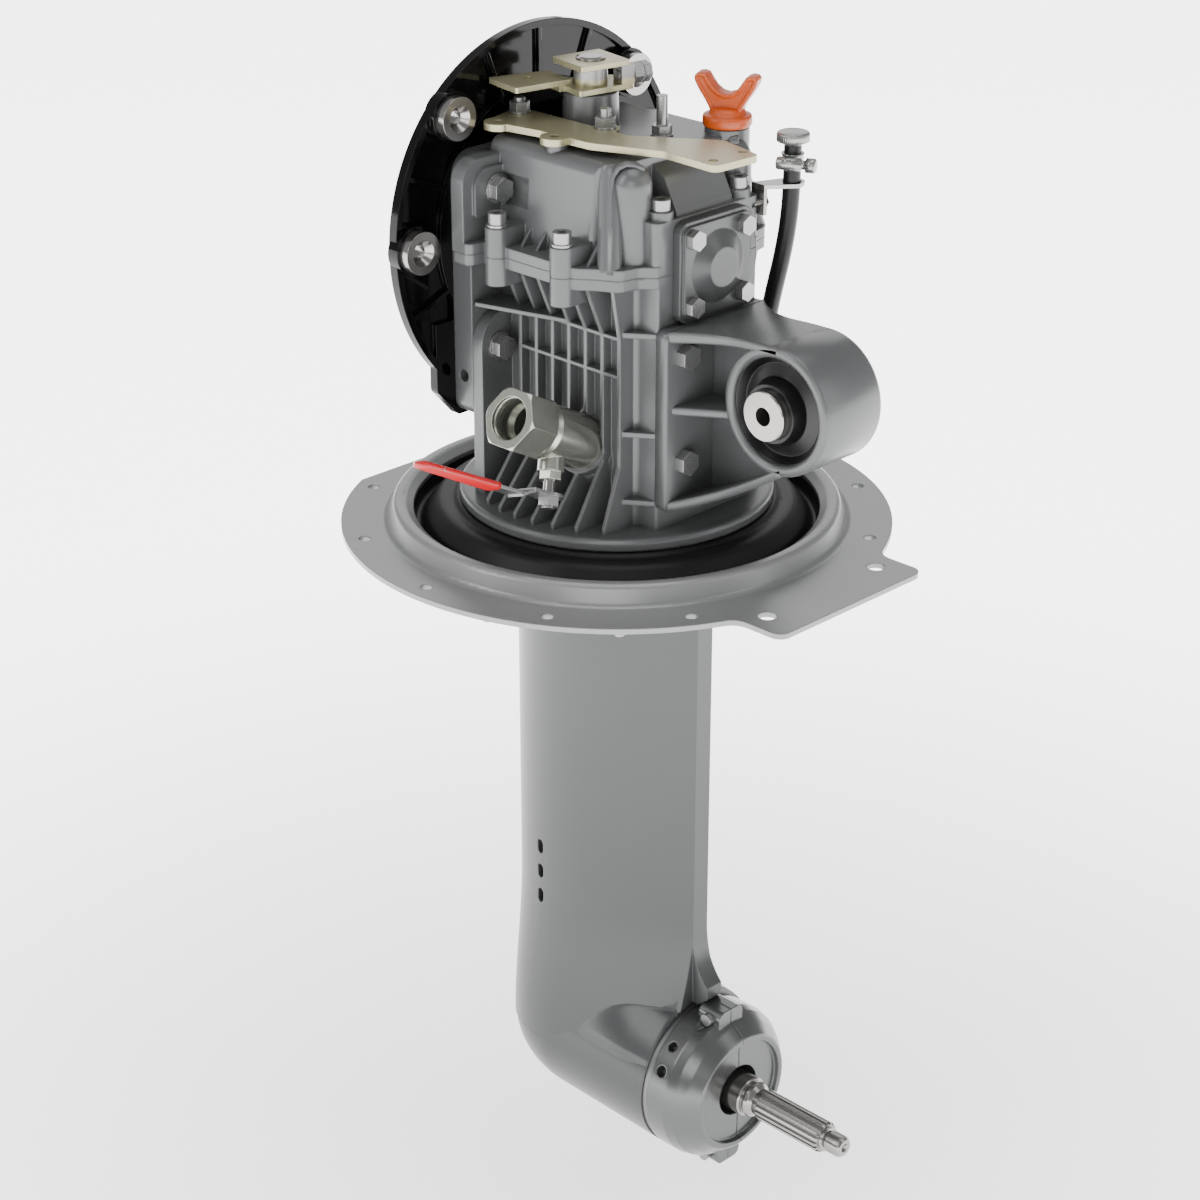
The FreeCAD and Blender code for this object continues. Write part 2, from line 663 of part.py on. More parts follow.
def make_clutch_rod():
    """Pull rod inside the hollow shaft, with its cross pin and grooved collar."""
    c = CROWN_Z - CLUTCH_TRAVEL / 2
    fork = FORK_Z - CLUTCH_TRAVEL / 2
    stem = Part.makeCylinder(ROD_R, fork - (c - 6), V(0, 0, c - 6))
    pin = rod(V(0, -CLUTCH_R + 2, c), V(0, 1, 0), 3.0, 2 * CLUTCH_R - 4)
    w = FORK_T / 2 + GAP
    collar = turned([(0, fork - w - 2), (9, fork - w - 2), (9, fork - w), (ROD_R + 1.2, fork - w),
                     (ROD_R + 1.2, fork + w), (9, fork + w), (9, fork + w + 2), (0, fork + w + 2)],
                    V(0, 0, 0), V(0, 0, 1))
    return fuse([stem, pin, collar])


def make_prop_shaft():
    profile = [(0, GEAR_ROOM_X0 - BEARING_W + 1), (SHAFT_R, GEAR_ROOM_X0 - BEARING_W + 1), (SHAFT_R, 128),
               (PROP_HUB_R, 128), (PROP_HUB_R, PROP_HUB_X1 - 1), (PROP_HUB_R - 1, PROP_HUB_X1),
               (13.2, PROP_HUB_X1), (13.2, PROP_HUB_X1 + 2), (14.2, PROP_HUB_X1 + 3.5),
               (13.6, PROP_HUB_X1 + 6), (10.6, PROP_HUB_X1 + 9), (10.6, SPLINE_X0), (SPLINE_R, SPLINE_X0 + 1.5),
               (SPLINE_R, SPLINE_X1 - 1.5), (SPLINE_ROOT_R, SPLINE_X1), (9.6, SPLINE_X1),
               (9.6, SPLINE_X1 + 3), (6.8, SPLINE_X1 + 4), (THREAD_R, SPLINE_X1 + 5),
               (THREAD_R, PROP_END_X - 1.5), (THREAD_R - 1.5, PROP_END_X), (3.6, PROP_END_X),
               (1.2, PROP_END_X - 4), (0, PROP_END_X - 4)]
    shaft = turned(profile, V(0, 0, CASE_Z), V(1, 0, 0))
    grooves = []
    width = 2 * math.pi * SPLINE_R / SPLINE_TEETH / 2
    for i in range(SPLINE_TEETH):
        cut = box(SPLINE_X0 - 0.5, SPLINE_X1 + 0.5, -width / 2, width / 2, SPLINE_ROOT_R - 0.3, SPLINE_R + 3)
        cut.rotate(V(0, 0, 0), V(1, 0, 0), 360.0 / SPLINE_TEETH * i)
        cut.translate(V(0, 0, CASE_Z))
        grooves.append(cut)
    return shaft.cut(Part.makeCompound(grooves))


# Bearing carrier, seal and anode collar

def make_carrier():
    """Turned plug that closes the gear case and carries the propeller shaft's aft bearing."""
    x0 = CARRIER_X0
    profile = [(BEARING_R, 0), (CASE_BORE_R - 0.1, 0), (CASE_BORE_R - 0.1, CASE_AFT_X - x0),
               (CASE_AFT_R - 1.2, CASE_AFT_X - x0), (CASE_AFT_R - 1.2, COLLAR_X0 - x0 - 0.3),
               (BEARING_R - 4, COLLAR_X0 - x0 - 0.3), (BEARING_R - 4, COLLAR_X0 - x0 - 15),
               (SHAFT_R + 4, COLLAR_X0 - x0 - 15), (SHAFT_R + 4, BEARING_W + 2), (BEARING_R, BEARING_W + 2)]
    return turned(profile, V(x0, 0, CASE_Z), V(1, 0, 0))


def make_shaft_seal():
    profile = [(SHAFT_R + FIT, 0), (BEARING_R - 4, 0), (BEARING_R - 4, 9), (SHAFT_R + 5, 9),
               (SHAFT_R + 5, 6), (SHAFT_R + FIT, 4)]
    return turned(profile, V(COLLAR_X0 - 12, 0, CASE_Z), V(1, 0, 0))


def collar_body():
    length = COLLAR_X1 - COLLAR_X0
    bore = COLLAR_BORE_R
    profile = [(bore, 4), (COLLAR_R - 8, 4), (COLLAR_R - 8, 0), (COLLAR_R, 0), (COLLAR_R, length * 0.42),
               (COLLAR_R - 2, length * 0.6), (COLLAR_R - 7, length * 0.78),
               (COLLAR_FACE_R + 1.5, length - 1), (COLLAR_FACE_R, length), (COLLAR_FACE_R - 3.5, length),
               (COLLAR_FACE_R - 4.5, length - 4), (bore, length - 4)]
    collar = turned(profile, V(COLLAR_X0, 0, CASE_Z), V(1, 0, 0))
    blocks = []
    for sign in (1, -1):
        z0, z1 = sorted((CASE_Z + sign * (COLLAR_R - 12), CASE_Z + sign * COLLAR_PAD_Z))
        blocks.append(prism_x([(-13, z0), (13, z0), (13, z1), (-13, z1)], COLLAR_X0 + 8, COLLAR_X0 + 30,
                              [0, 0, 6, 6] if sign > 0 else [6, 6, 0, 0]))
    return fuse([collar] + blocks)


def make_collar_half(side):
    """One half of the collar, split on the centre plane, with the clamp screws' ways."""
    keep = box(COLLAR_X0 - 1, COLLAR_X1 + 1, COLLAR_SPLIT / 2, 90, CASE_Z - 90, CASE_Z + 90)
    if side < 0:
        keep = mirrored(keep)
    half = collar_body().common(keep)
    cuts = [rod(V(COLLAR_X0 + 19, -30, z), V(0, 1, 0), 3.0, 60) for z in collar_screw_heights()]
    cuts += [rod(V(COLLAR_X0 + 19, -13, z), V(0, -1, 0), 5.6, 20) for z in collar_screw_heights()]
    for angle, radius in ((28, 4.6), (47, 4.0)):
        a = math.radians(angle)
        out = V(0, side * math.cos(a), math.sin(a))
        cuts.append(rod(V(COLLAR_X0 + 9, 0, CASE_Z) + out * (COLLAR_R - 9), out, radius, 20))
    return half.cut(Part.makeCompound(cuts))


def collar_screw_heights():
    return (CASE_Z + COLLAR_PAD_Z - 7.5, CASE_Z - COLLAR_PAD_Z + 7.5)


def make_collar_screws():
    screws = []
    for z in collar_screw_heights():
        seat = V(COLLAR_X0 + 19, -13, z)
        head = rod(seat, V(0, -1, 0), 5.0, 4.5)
        screws.append(fuse([head, rod(seat + V(0, -0.1, 0), V(0, 1, 0), 3.0, 25)]))
    return Part.makeCompound(screws)


# Gearbox housings

def split_outline():
    """Outline of the joint between the two housings, port side first."""
    f = FLANGE_HALF
    port = [(HOUSING_X0, -LUG_HALF), (HOUSING_X0 + LUG_T + 2, -LUG_HALF), (HOUSING_X0 + LUG_T + 5, -f),
            (48, -f), (60, -82), (75, -74), (79, -58), (BLOCK_X1, -BLOCK_HALF + 2)]
    return port + [(x, -y) for x, y in reversed(port)]


def split_radii():
    port = [3, 5, 5, 8, 8, 7, 8, 3]
    return port + list(reversed(port))


def side_boss(z0, z1):
    shapes = []
    for x, y in SIDE_SCREWS:
        boss = Part.makeCylinder(SIDE_BOSS_R, z1 - z0, V(x, -y, z0))
        web = box(x - SIDE_BOSS_R, x + SIDE_BOSS_R, -y, -LOWER_HALF + 2, z0, z1)
        shapes += both_sides(fuse([boss, web]))
    return shapes


def lower_wall():
    h = LOWER_HALF
    port = [(HOUSING_X0, -h), (BODY_X1 + 4, -h), (BODY_X1 + 10, -BLOCK_HALF), (BLOCK_X1, -BLOCK_HALF + 2)]
    outline = port + [(x, -y) for x, y in reversed(port)]
    return prism_z(outline, BASE_TOP - 1, CROWN_Z, [2, 6, 8, 2, 2, 8, 6, 2])


def cavity(z0, z1, half):
    x0 = HOUSING_X0 + WALL + 2
    return prism_z([(x0, -half), (BODY_X1 - 2, -half), (BODY_X1 - 2, half), (x0, half)], z0, z1, 10)


def side_ribs():
    """Cooling ribs: wide feet on the base, a narrow middle, and a flare under the joint."""
    ribs = []
    y_wall = LOWER_HALF - 2
    for i in range(RIB_COUNT):
        x = RIB_X0 + RIB_PITCH * i
        foot = math.sqrt(RIB_FOOT_R ** 2 - x * x)
        reach = LOWER_HALF + RIB_REACH
        profile = [(-y_wall, BASE_TOP - 1), (-foot, BASE_TOP - 1), (-foot, BASE_TOP + 4), (-reach, 74),
                   (-reach, 168), (-FLANGE_HALF + 8, CROWN_Z - FLANGE_DOWN + 1),
                   (-y_wall, CROWN_Z - FLANGE_DOWN + 1)]
        if i == RIB_COUNT - 1:
            y_wall = BLOCK_HALF - 2
            profile[0] = (-y_wall, BASE_TOP - 1)
            profile[-1] = (-y_wall, CROWN_Z - FLANGE_DOWN + 1)
            profile[5] = (-74, CROWN_Z - FLANGE_DOWN + 1)
        ribs += both_sides(prism_x(profile, x - RIB_T / 2, x + RIB_T / 2))
    return ribs


def cross_ribs():
    """Level ribs across the side, the tapering shelf, and the gussets round the aft corner."""
    reach = LOWER_HALF + RIB_REACH
    last = RIB_X0 + RIB_PITCH * (RIB_COUNT - 1)
    shapes = []
    for z in (168, 140):
        shapes += both_sides(box(RIB_X0, last, -reach, -LOWER_HALF + 2, z - 1.3, z + 1.3))
    shelf = prism_z([(HOUSING_X0 + 2, -LOWER_HALF + 2), (HOUSING_X0 + 2, -LOWER_LUG_HALF + 1),
                     (RIB_X0 + RIB_PITCH * 3, -reach), (RIB_X0 + RIB_PITCH * 3, -LOWER_HALF + 2)], 168, 171)
    shapes += both_sides(shelf)
    for z in (171, 98, 47):
        gusset = prism_z([(last - 2, -reach), (BLOCK_X1, -BLOCK_HALF + 1), (BLOCK_X1, -BLOCK_HALF + 4),
                          (last - 2, -BLOCK_HALF + 4)], z - 2, z + 2)
        shapes += both_sides(gusset)
    return shapes


def bearing_bore(x0, x1, radius):
    return rod(V(x0, 0, CROWN_Z), V(1, 0, 0), radius, x1 - x0)


def valve_axis():
    a = math.radians(VALVE_TILT)
    return V(0, -math.cos(a), math.sin(a))


def valve_foot():
    return V(VALVE_X, VALVE_FOOT_Y, VALVE_FOOT_Z)


def valve_boss():
    axis = valve_axis()
    foot = valve_foot()
    cone = Part.makeCone(31, VALVE_BOSS_R + 1, 20, foot - axis * 28, axis)
    ring = rod(foot - axis * 9, axis, VALVE_BOSS_R, 9)
    return [cone, ring]


def make_lower_housing():
    base = turned([(0, BASE_BOT), (BASE_R - 1.5, BASE_BOT), (BASE_R, BASE_BOT + 1.5), (BASE_R, BASE_TOP - 3),
                   (BASE_R - 1, BASE_TOP - 0.8), (BASE_R - 3, BASE_TOP), (0, BASE_TOP)], V(0, 0, 0), V(0, 0, 1))
    joint = prism_z(split_outline(), CROWN_Z - FLANGE_DOWN, CROWN_Z, split_radii())
    front = prism_x([(-LOWER_LUG_HALF, BASE_TOP - 1), (LOWER_LUG_HALF, BASE_TOP - 1),
                     (LOWER_LUG_HALF, LOWER_LUG_TOP), (-LOWER_LUG_HALF, LOWER_LUG_TOP)],
                    HOUSING_X0, HOUSING_X0 + 10, [0, 0, 24, 24])
    front = front.common(fuse([Part.makeCylinder(RIB_FOOT_R + 5, 60, V(0, 0, BASE_TOP - 2)),
                               box(-100, 100, -200, 200, 75, 300)]))
    bosses = side_boss(SIDE_BOSS_BOT, CROWN_Z)
    stick_way = Part.makeCylinder(8, CROWN_Z - 110, V(DIP_X, DIP_Y, 110))
    knee = hose_knee()
    hose_boss = rod(V(knee.x, BLOCK_HALF - 4, knee.z), V(0, 1, 0), 9, HOSE_BOSS_Y - BLOCK_HALF + 4)
    solid = fuse([base, lower_wall(), joint, front, stick_way, hose_boss] + bosses + side_ribs()
                 + cross_ribs() + valve_boss())
    web_top = CROWN_Z - crown_pair()[0] - 8
    web_low = web_top - CROWN_BEARING_W
    inner = LOWER_HALF - WALL
    cuts = [cavity(BASE_TOP + 13, web_low - 4, inner), cavity(web_top, CROWN_Z + 1, inner),
            Part.makeCylinder(CROWN_BEARING_R, CROWN_BEARING_W + 1, V(0, 0, web_low)),
            Part.makeCylinder(CROWN_HUB_R + 3, 20, V(0, 0, web_low - 10)),
            Part.makeCylinder(BEARING_R, BEARING_W, V(0, 0, BASE_TOP + 13 - BEARING_W)),
            Part.makeCylinder(SHAFT_R + 5, 60, V(0, 0, 0)),
            bearing_bore(HOUSING_X0 - 1, HOUSING_X0 + WALL + 3, INPUT_BEARING_R)]
    cuts += [Part.makeCylinder(7, 40, V(dx, dy, web_low - 15)) for dx in (-38, 46) for dy in (-38, 38)]
    cuts.append(Part.makeCylinder(DIP_WAY_R, 120, V(DIP_X, DIP_Y, DIP_TOP - DIP_LEN - 4)))
    cuts.append(box(DIP_X - 3, DIP_X + 3, inner - 2, DIP_Y, DIP_TOP - DIP_LEN - 4, DIP_TOP - DIP_LEN + 30))
    axis = valve_axis()
    cuts.append(rod(valve_foot() - axis * 24, axis, 12.5, 30))
    cuts.append(Part.makeCylinder(9, 22, V(VALVE_X, VALVE_FOOT_Y + 18, 15)))
    for x, y in SIDE_SCREWS:
        cuts += both_sides(Part.makeCylinder(M8_R, 60, V(x, -y, SIDE_BOSS_BOT + 4)))
    bx, by = BLOCK_SCREWS
    cuts += both_sides(Part.makeCylinder(M8_R, 30, V(bx, -by, CROWN_Z - 22)))
    cuts += [rod(p + V(0, 0, 0), V(0, 0, 1), M10_R, BASE_BOT + 6) for p in leg_bolt_points()]
    for y, z in BRACKET_BOLTS:
        cuts += both_sides(rod(V(BLOCK_X1 + 1, y, z), V(-1, 0, 0), M10_R, 21))
    y, z, x = LUG_BOLTS[1]
    cuts += both_sides(rod(V(HOUSING_X0 - 1, y, z), V(1, 0, 0), M10_R, 20))
    cuts += cover_ways(-1)
    cuts.append(rod(valve_foot(), axis, VALVE_BODY_R + 1.5, VALVE_LEN))
    return solid.cut(Part.makeCompound(cuts))


def cover_ways(up):
    """Bore for the aft cover's spigot and the blind holes for its upper or lower bolts."""
    ways = [rod(V(BODY_X1 - 5, 0, CROWN_Z), V(1, 0, 0), COVER_SPIGOT_R, 50)]
    for y in (-COVER_BOLT_Y, COVER_BOLT_Y):
        ways.append(rod(V(BLOCK_X1 - 14, y, CROWN_Z + up * COVER_BOLT_Z), V(1, 0, 0), M8_R, 16))
    return ways


def upper_walls():
    """Drafted body with rounded shoulders, the lower aft block, its screw bosses and the corner ribs."""
    h = UPPER_HALF
    wall = [(-h - 3, CROWN_Z), (h + 3, CROWN_Z), (h - 2, UPPER_TOP), (-h + 2, UPPER_TOP)]
    body = prism_x(wall, HOUSING_X0 + 2, BODY_X1, [0, 0, 9, 9])
    corner = prism_z([(HOUSING_X0 + 2, -h - 4), (42, -h - 4), (BODY_X1, -BLOCK_HALF), (BODY_X1, BLOCK_HALF),
                      (42, h + 4), (HOUSING_X0 + 2, h + 4)], CROWN_Z, UPPER_TOP, [0, 12, 6, 6, 12, 0])
    block = prism_z([(BODY_X1 - 10, -BLOCK_HALF), (BLOCK_X1, -BLOCK_HALF), (BLOCK_X1, BLOCK_HALF),
                     (BODY_X1 - 10, BLOCK_HALF)], CROWN_Z, BLOCK_TOP - 6, [0, 5, 5, 0])
    crown = prism_y([(BODY_X1 - 10, BLOCK_TOP - 8), (BLOCK_X1 - 3, BLOCK_TOP - 8), (BLOCK_X1 - 5, BLOCK_TOP - 2),
                     (BODY_X1 + 12, UPPER_TOP - 12), (BODY_X1 - 2, UPPER_TOP - 4), (BODY_X1 - 10, UPPER_TOP - 4)],
                    -28, 28, [0, 0, 5, 12, 6, 0])
    x, y = BLOCK_SCREWS
    bosses = both_sides(Part.makeCylinder(8.5, BLOCK_TOP - CROWN_Z, V(x, -y, CROWN_Z)))
    foot, head = V(64, -73, CROWN_Z + 4), V(50, -58, UPPER_TOP - 6)
    way = (head - foot).normalize()
    rib = fuse([rod(foot, way, 8.5, (head - foot).Length), Part.makeSphere(8.5, head)])
    rib = rib.common(box(0, 100, -120, 0, CROWN_Z, UPPER_TOP))
    return [body.common(corner), block, crown] + bosses + both_sides(rib)


def make_upper_housing():
    joint = prism_z(split_outline(), CROWN_Z, CROWN_Z + FLANGE_UP, split_radii())
    lug = prism_x([(-LUG_HALF, CROWN_Z), (LUG_HALF, CROWN_Z), (LUG_HALF, LUG_TOP), (-LUG_HALF, LUG_TOP)],
                  HOUSING_X0, HOUSING_X0 + LUG_T - 3, [0, 0, 16, 16])
    pad = prism_x([(-LUG_HALF + 9, CROWN_Z + 24), (LUG_HALF - 9, CROWN_Z + 24),
                   (LUG_HALF - 9, LUG_TOP - 7), (-LUG_HALF + 9, LUG_TOP - 7)],
                  HOUSING_X0, HOUSING_X0 + LUG_T, [3, 3, 14, 14])
    tower = Part.makeCone(TOWER_R + 1, TOWER_R, TOWER_TOP - UPPER_TOP + 2, V(TOWER_X, 0, UPPER_TOP - 2))
    dip = Part.makeCylinder(DIP_BOSS_R, DIP_TOP - BLOCK_TOP + 22, V(DIP_X, DIP_Y, BLOCK_TOP - 22))
    nut_pad = Part.makeCylinder(10, PLATE_TOP - PLATE_T - UPPER_TOP + 2, V(STAY_NUT[0], STAY_NUT[1], UPPER_TOP - 2))
    ear_pad = Part.makeCylinder(8, PLATE_TOP - PLATE_T - UPPER_TOP + 2, V(-1, -58, UPPER_TOP - 2))
    gussets = []
    for x in (-12.7, 2.1, 51.7):
        inner = UPPER_HALF - 2
        fin = prism_x([(-inner, CROWN_Z + FLANGE_UP - 1), (-FLANGE_HALF + 8, CROWN_Z + FLANGE_UP - 1),
                       (-inner, CROWN_Z + 24)], x - 1.4, x + 1.4)
        gussets += both_sides(fin)
    solid = fuse([joint, lug, pad, tower, dip, nut_pad, ear_pad] + upper_walls()
                 + side_boss(CROWN_Z, SIDE_BOSS_TOP) + gussets)
    web_low = CROWN_Z + crown_pair()[0] + 8
    web_top = web_low + CROWN_BEARING_W
    inner = UPPER_HALF - WALL - 5
    cuts = [cavity(CROWN_Z - 1, web_low, inner - 6), cavity(web_top + 4, UPPER_TOP - 8, inner - 6),
            Part.makeCylinder(CROWN_BEARING_R, CROWN_BEARING_W + 1, V(0, 0, web_low - 1)),
            Part.makeCylinder(CROWN_HUB_R + 3, 20, V(0, 0, web_low)),
            bearing_bore(HOUSING_X0 - 1, HOUSING_X0 + WALL + 3, INPUT_BEARING_R),
            Part.makeCylinder(SHIFT_R + FIT, 60, V(TOWER_X, 0, UPPER_TOP - 20)),
            Part.makeCylinder(DIP_WAY_R, 90, V(DIP_X, DIP_Y, CROWN_Z - 1)),
            Part.makeCylinder(6.5, 14, V(DIP_X, DIP_Y, DIP_TOP - 13)),
            Part.makeCylinder(M8_R, 20, V(STAY_NUT[0], STAY_NUT[1], PLATE_TOP - PLATE_T - 14)),
            Part.makeCylinder(M8_R, 20, V(BREATHER[0], BREATHER[1], UPPER_TOP - 6))]
    for x, y in SIDE_SCREWS:
        cuts += both_sides(Part.makeCylinder(M8_R, 60, V(x, -y, CROWN_Z - 10)))
    bx, by = BLOCK_SCREWS
    cuts += both_sides(Part.makeCylinder(M8_R, 80, V(bx, -by, CROWN_Z - 10)))
    y, z, x = LUG_BOLTS[0]
    cuts += both_sides(rod(V(HOUSING_X0 - 1, y, z), V(1, 0, 0), M10_R, 20))
    cuts += both_sides(rod(V(HOUSING_X0 + LUG_T, y, z), V(1, 0, 0), M10_WASHER_R + 2, 26))
    cuts.append(rod(V(STRAP_X, BLOCK_HALF + 1, HOSE_ARM_Z - 14), V(0, -1, 0), 3.0, 9))
    cuts += cover_ways(1)
    return solid.cut(Part.makeCompound(cuts))


def make_housing_screws():
    screws = []
    for x, y in SIDE_SCREWS:
        seat = V(x, -y, SIDE_BOSS_TOP + M10_WASHER_T)
        screw = fuse([socket_screw(seat, V(0, 0, 1), SIDE_BOSS_TOP - SIDE_BOSS_BOT - 6),
                      rod(seat, V(0, 0, -1), M8_HEAD_R + 1.2, M10_WASHER_T)])
        screws += both_sides(screw)
    bx, by = BLOCK_SCREWS
    screws += both_sides(socket_screw(V(bx, -by, BLOCK_TOP), V(0, 0, 1), BLOCK_TOP - CROWN_Z + 18))
    return Part.makeCompound(screws)


def make_lug_bolts():
    bolts = []
    for i, (y, z, x) in enumerate(LUG_BOLTS):
        seat_x = HOUSING_X0 + (LUG_T if i == 0 else 10)
        bolt = hex_bolt(V(seat_x, -y, z), V(1, 0, 0), M10_AF, M10_HEAD_H, M10_R, seat_x - HOUSING_X0 + 12,
                        M10_WASHER_R, M10_WASHER_T)
        bolts += both_sides(bolt)
    return Part.makeCompound(bolts)


# Bell-housing flange and adapter

def bell_sleeve_points():
    return [V(0, BELL_BOLT_R * math.cos(math.radians(a)), CROWN_Z + BELL_BOLT_R * math.sin(math.radians(a)))
            for a in (0, 45, 135, 180)]


def make_bell_flange():
    """Round plate with a rim, ribs and bosses on its aft side, and a skirt below."""
    disc = rod(V(BELL_X0, 0, CROWN_Z), V(1, 0, 0), BELL_R, BELL_T)
    skirt_y = BELL_SKIRT_HALF
    skirt = prism_x([(-skirt_y, BELL_SKIRT_Z + 8), (-skirt_y + 20, BELL_SKIRT_Z - 14),
                     (skirt_y - 20, BELL_SKIRT_Z - 14), (skirt_y, BELL_SKIRT_Z + 8),
                     (skirt_y, CROWN_Z), (-skirt_y, CROWN_Z)],
                    BELL_X0, BELL_X0 + BELL_T, [6, 4, 4, 6, 0, 0])
    below = box(BELL_X0 - 1, BELL_X0 + BELL_T + 1, -200, 200, 0, BELL_SKIRT_Z - 14)
    pocket = rod(V(BELL_X0 + 4, 0, CROWN_Z), V(1, 0, 0), BELL_R - 5, BELL_T)
    middle = rod(V(BELL_X0, 0, CROWN_Z), V(1, 0, 0), 100, BELL_T)
    plate = fuse([disc.cut(below), skirt]).cut(pocket.cut(middle).cut(skirt_core()))
    shapes = [plate]
    for p in bell_sleeve_points():
        shapes.append(rod(p + V(BELL_X0 + 1, 0, 0), V(1, 0, 0), BELL_SLEEVE_R + 2.5, 10))
    for a in (22, 68, 90, 112, 158, 202, 338):
        rib = box(BELL_X0 + 1, BELL_X0 + BELL_T, -1.6, 1.6, 96, BELL_R - 3)
        rib.rotate(V(0, 0, 0), V(1, 0, 0), a - 90)
        rib.translate(V(0, 0, CROWN_Z))
        shapes.append(rib)
    solid = fuse(shapes)
    cuts = [bearing_bore(BELL_X0 - 1, BELL_X0 + BELL_T + 1, 45.0)]
    cuts += [rod(p + V(BELL_X0 - 1, 0, 0), V(1, 0, 0), BELL_SLEEVE_BORE_R + 4, 30)
             for p in bell_sleeve_points()]
    for y, z, x in LUG_BOLTS:
        cuts += both_sides(rod(V(BELL_X0 - 1, y, z), V(1, 0, 0), M10_R + 1.5, 30))
    return solid.cut(Part.makeCompound(cuts))


def skirt_core():
    return box(BELL_X0, BELL_X0 + BELL_T, -BELL_SKIRT_HALF, BELL_SKIRT_HALF, BELL_SKIRT_Z - 14, CROWN_Z - 60)


def make_bell_sleeves():
    sleeves = []
    for p in bell_sleeve_points():
        x0 = BELL_X0 + 11.0
        outer = rod(p + V(x0, 0, 0), V(1, 0, 0), BELL_SLEEVE_R, BELL_SLEEVE_X - x0)
        spigot = rod(p + V(BELL_X0, 0, 0), V(1, 0, 0), BELL_SLEEVE_BORE_R + 4, 12)
        bore = rod(p + V(BELL_X0 - 1, 0, 0), V(1, 0, 0), BELL_SLEEVE_BORE_R, 40)
        cone = Part.makeCone(BELL_SLEEVE_BORE_R, 9.5, 5, p + V(BELL_SLEEVE_X - 4.99, 0, 0), V(1, 0, 0))
        sleeves.append(fuse([outer, spigot]).cut(bore).cut(cone))
    return Part.makeCompound(sleeves)


def make_adapter():
    """Cast spacer between the bell-housing flange and the gearbox."""
    x0, x1 = BELL_X0 + BELL_T, HOUSING_X0
    h = ADAPTER_HALF
    plate = prism_x([(-h, ADAPTER_Z0), (h, ADAPTER_Z0), (h, ADAPTER_Z1), (-h, ADAPTER_Z1)], x0, x1,
                    [10, 10, 18, 18])
    cuts = [bearing_bore(x0 - 1, x1 + 1, INPUT_BEARING_R)]
    for p in bell_sleeve_points():
        cuts.append(rod(p + V(x0 - 1, 0, 0), V(1, 0, 0), BELL_SLEEVE_R + 4, 40))
    for y, z, x in LUG_BOLTS:
        cuts += both_sides(rod(V(x0 - 1, y, z), V(1, 0, 0), M10_R, 30))
    mid = (x0 + x1) / 2
    cuts += both_sides(rod(V(mid, -h - 1, 113), V(0, 1, 0), 4.5, 16))
    window = prism_x([(-52, ADAPTER_Z0 + 12), (52, ADAPTER_Z0 + 12), (44, 168), (-44, 168)],
                     x0 - 1, x1 + 1, 8)
    return plate.cut(Part.makeCompound(cuts + [window]))


def make_input_seal():
    x0 = BELL_X0 + BELL_T
    profile = [(SHAFT_R + FIT, 0), (INPUT_BEARING_R, 0), (INPUT_BEARING_R, 9), (SHAFT_R + 6, 9),
               (SHAFT_R + 6, 5), (SHAFT_R + FIT, 4)]
    return turned(profile, V(x0, 0, CROWN_Z), V(1, 0, 0))


# Aft cover and rear mount

def make_aft_cover():
    h = COVER_HALF
    c = CROWN_Z
    plate = prism_x([(-h, c - h), (h, c - h), (h, c + h), (-h, c + h)], BLOCK_X1, BLOCK_X1 + COVER_T - 2, 8)
    raised = prism_x([(-h + 3, c - h + 3), (h - 3, c - h + 3), (h - 3, c + h - 3), (-h + 3, c + h - 3)],
                     BLOCK_X1, BLOCK_X1 + COVER_T, 6)
    dome = Part.makeCone(COVER_DOME_R, COVER_DOME_TOP_R, COVER_DOME_X - BLOCK_X1 - COVER_T,
                         V(BLOCK_X1 + COVER_T, 0, c), V(1, 0, 0))
    spigot = rod(V(BLOCK_X1 - 8, 0, c), V(1, 0, 0), COVER_SPIGOT_R - 0.1, 9)
    hollow = rod(V(BLOCK_X1 - 9, 0, c), V(1, 0, 0), 13, 14)
    holes = [rod(V(BLOCK_X1 - 1, sy * COVER_BOLT_Y, c + sz * COVER_BOLT_Z), V(1, 0, 0), M8_R, 20)
             for sy in (-1, 1) for sz in (-1, 1)]
    return fuse([plate, raised, dome, spigot]).cut(Part.makeCompound(holes + [hollow]))


def make_cover_bolts():
    bolts = []
    for sy in (-1, 1):
        for sz in (-1, 1):
            seat = V(BLOCK_X1 + COVER_T, sy * COVER_BOLT_Y, CROWN_Z + sz * COVER_BOLT_Z)
            bolts.append(hex_bolt(seat, V(1, 0, 0), 13.0, 6.0, M8_R, COVER_T + 12))
    return Part.makeCompound(bolts)


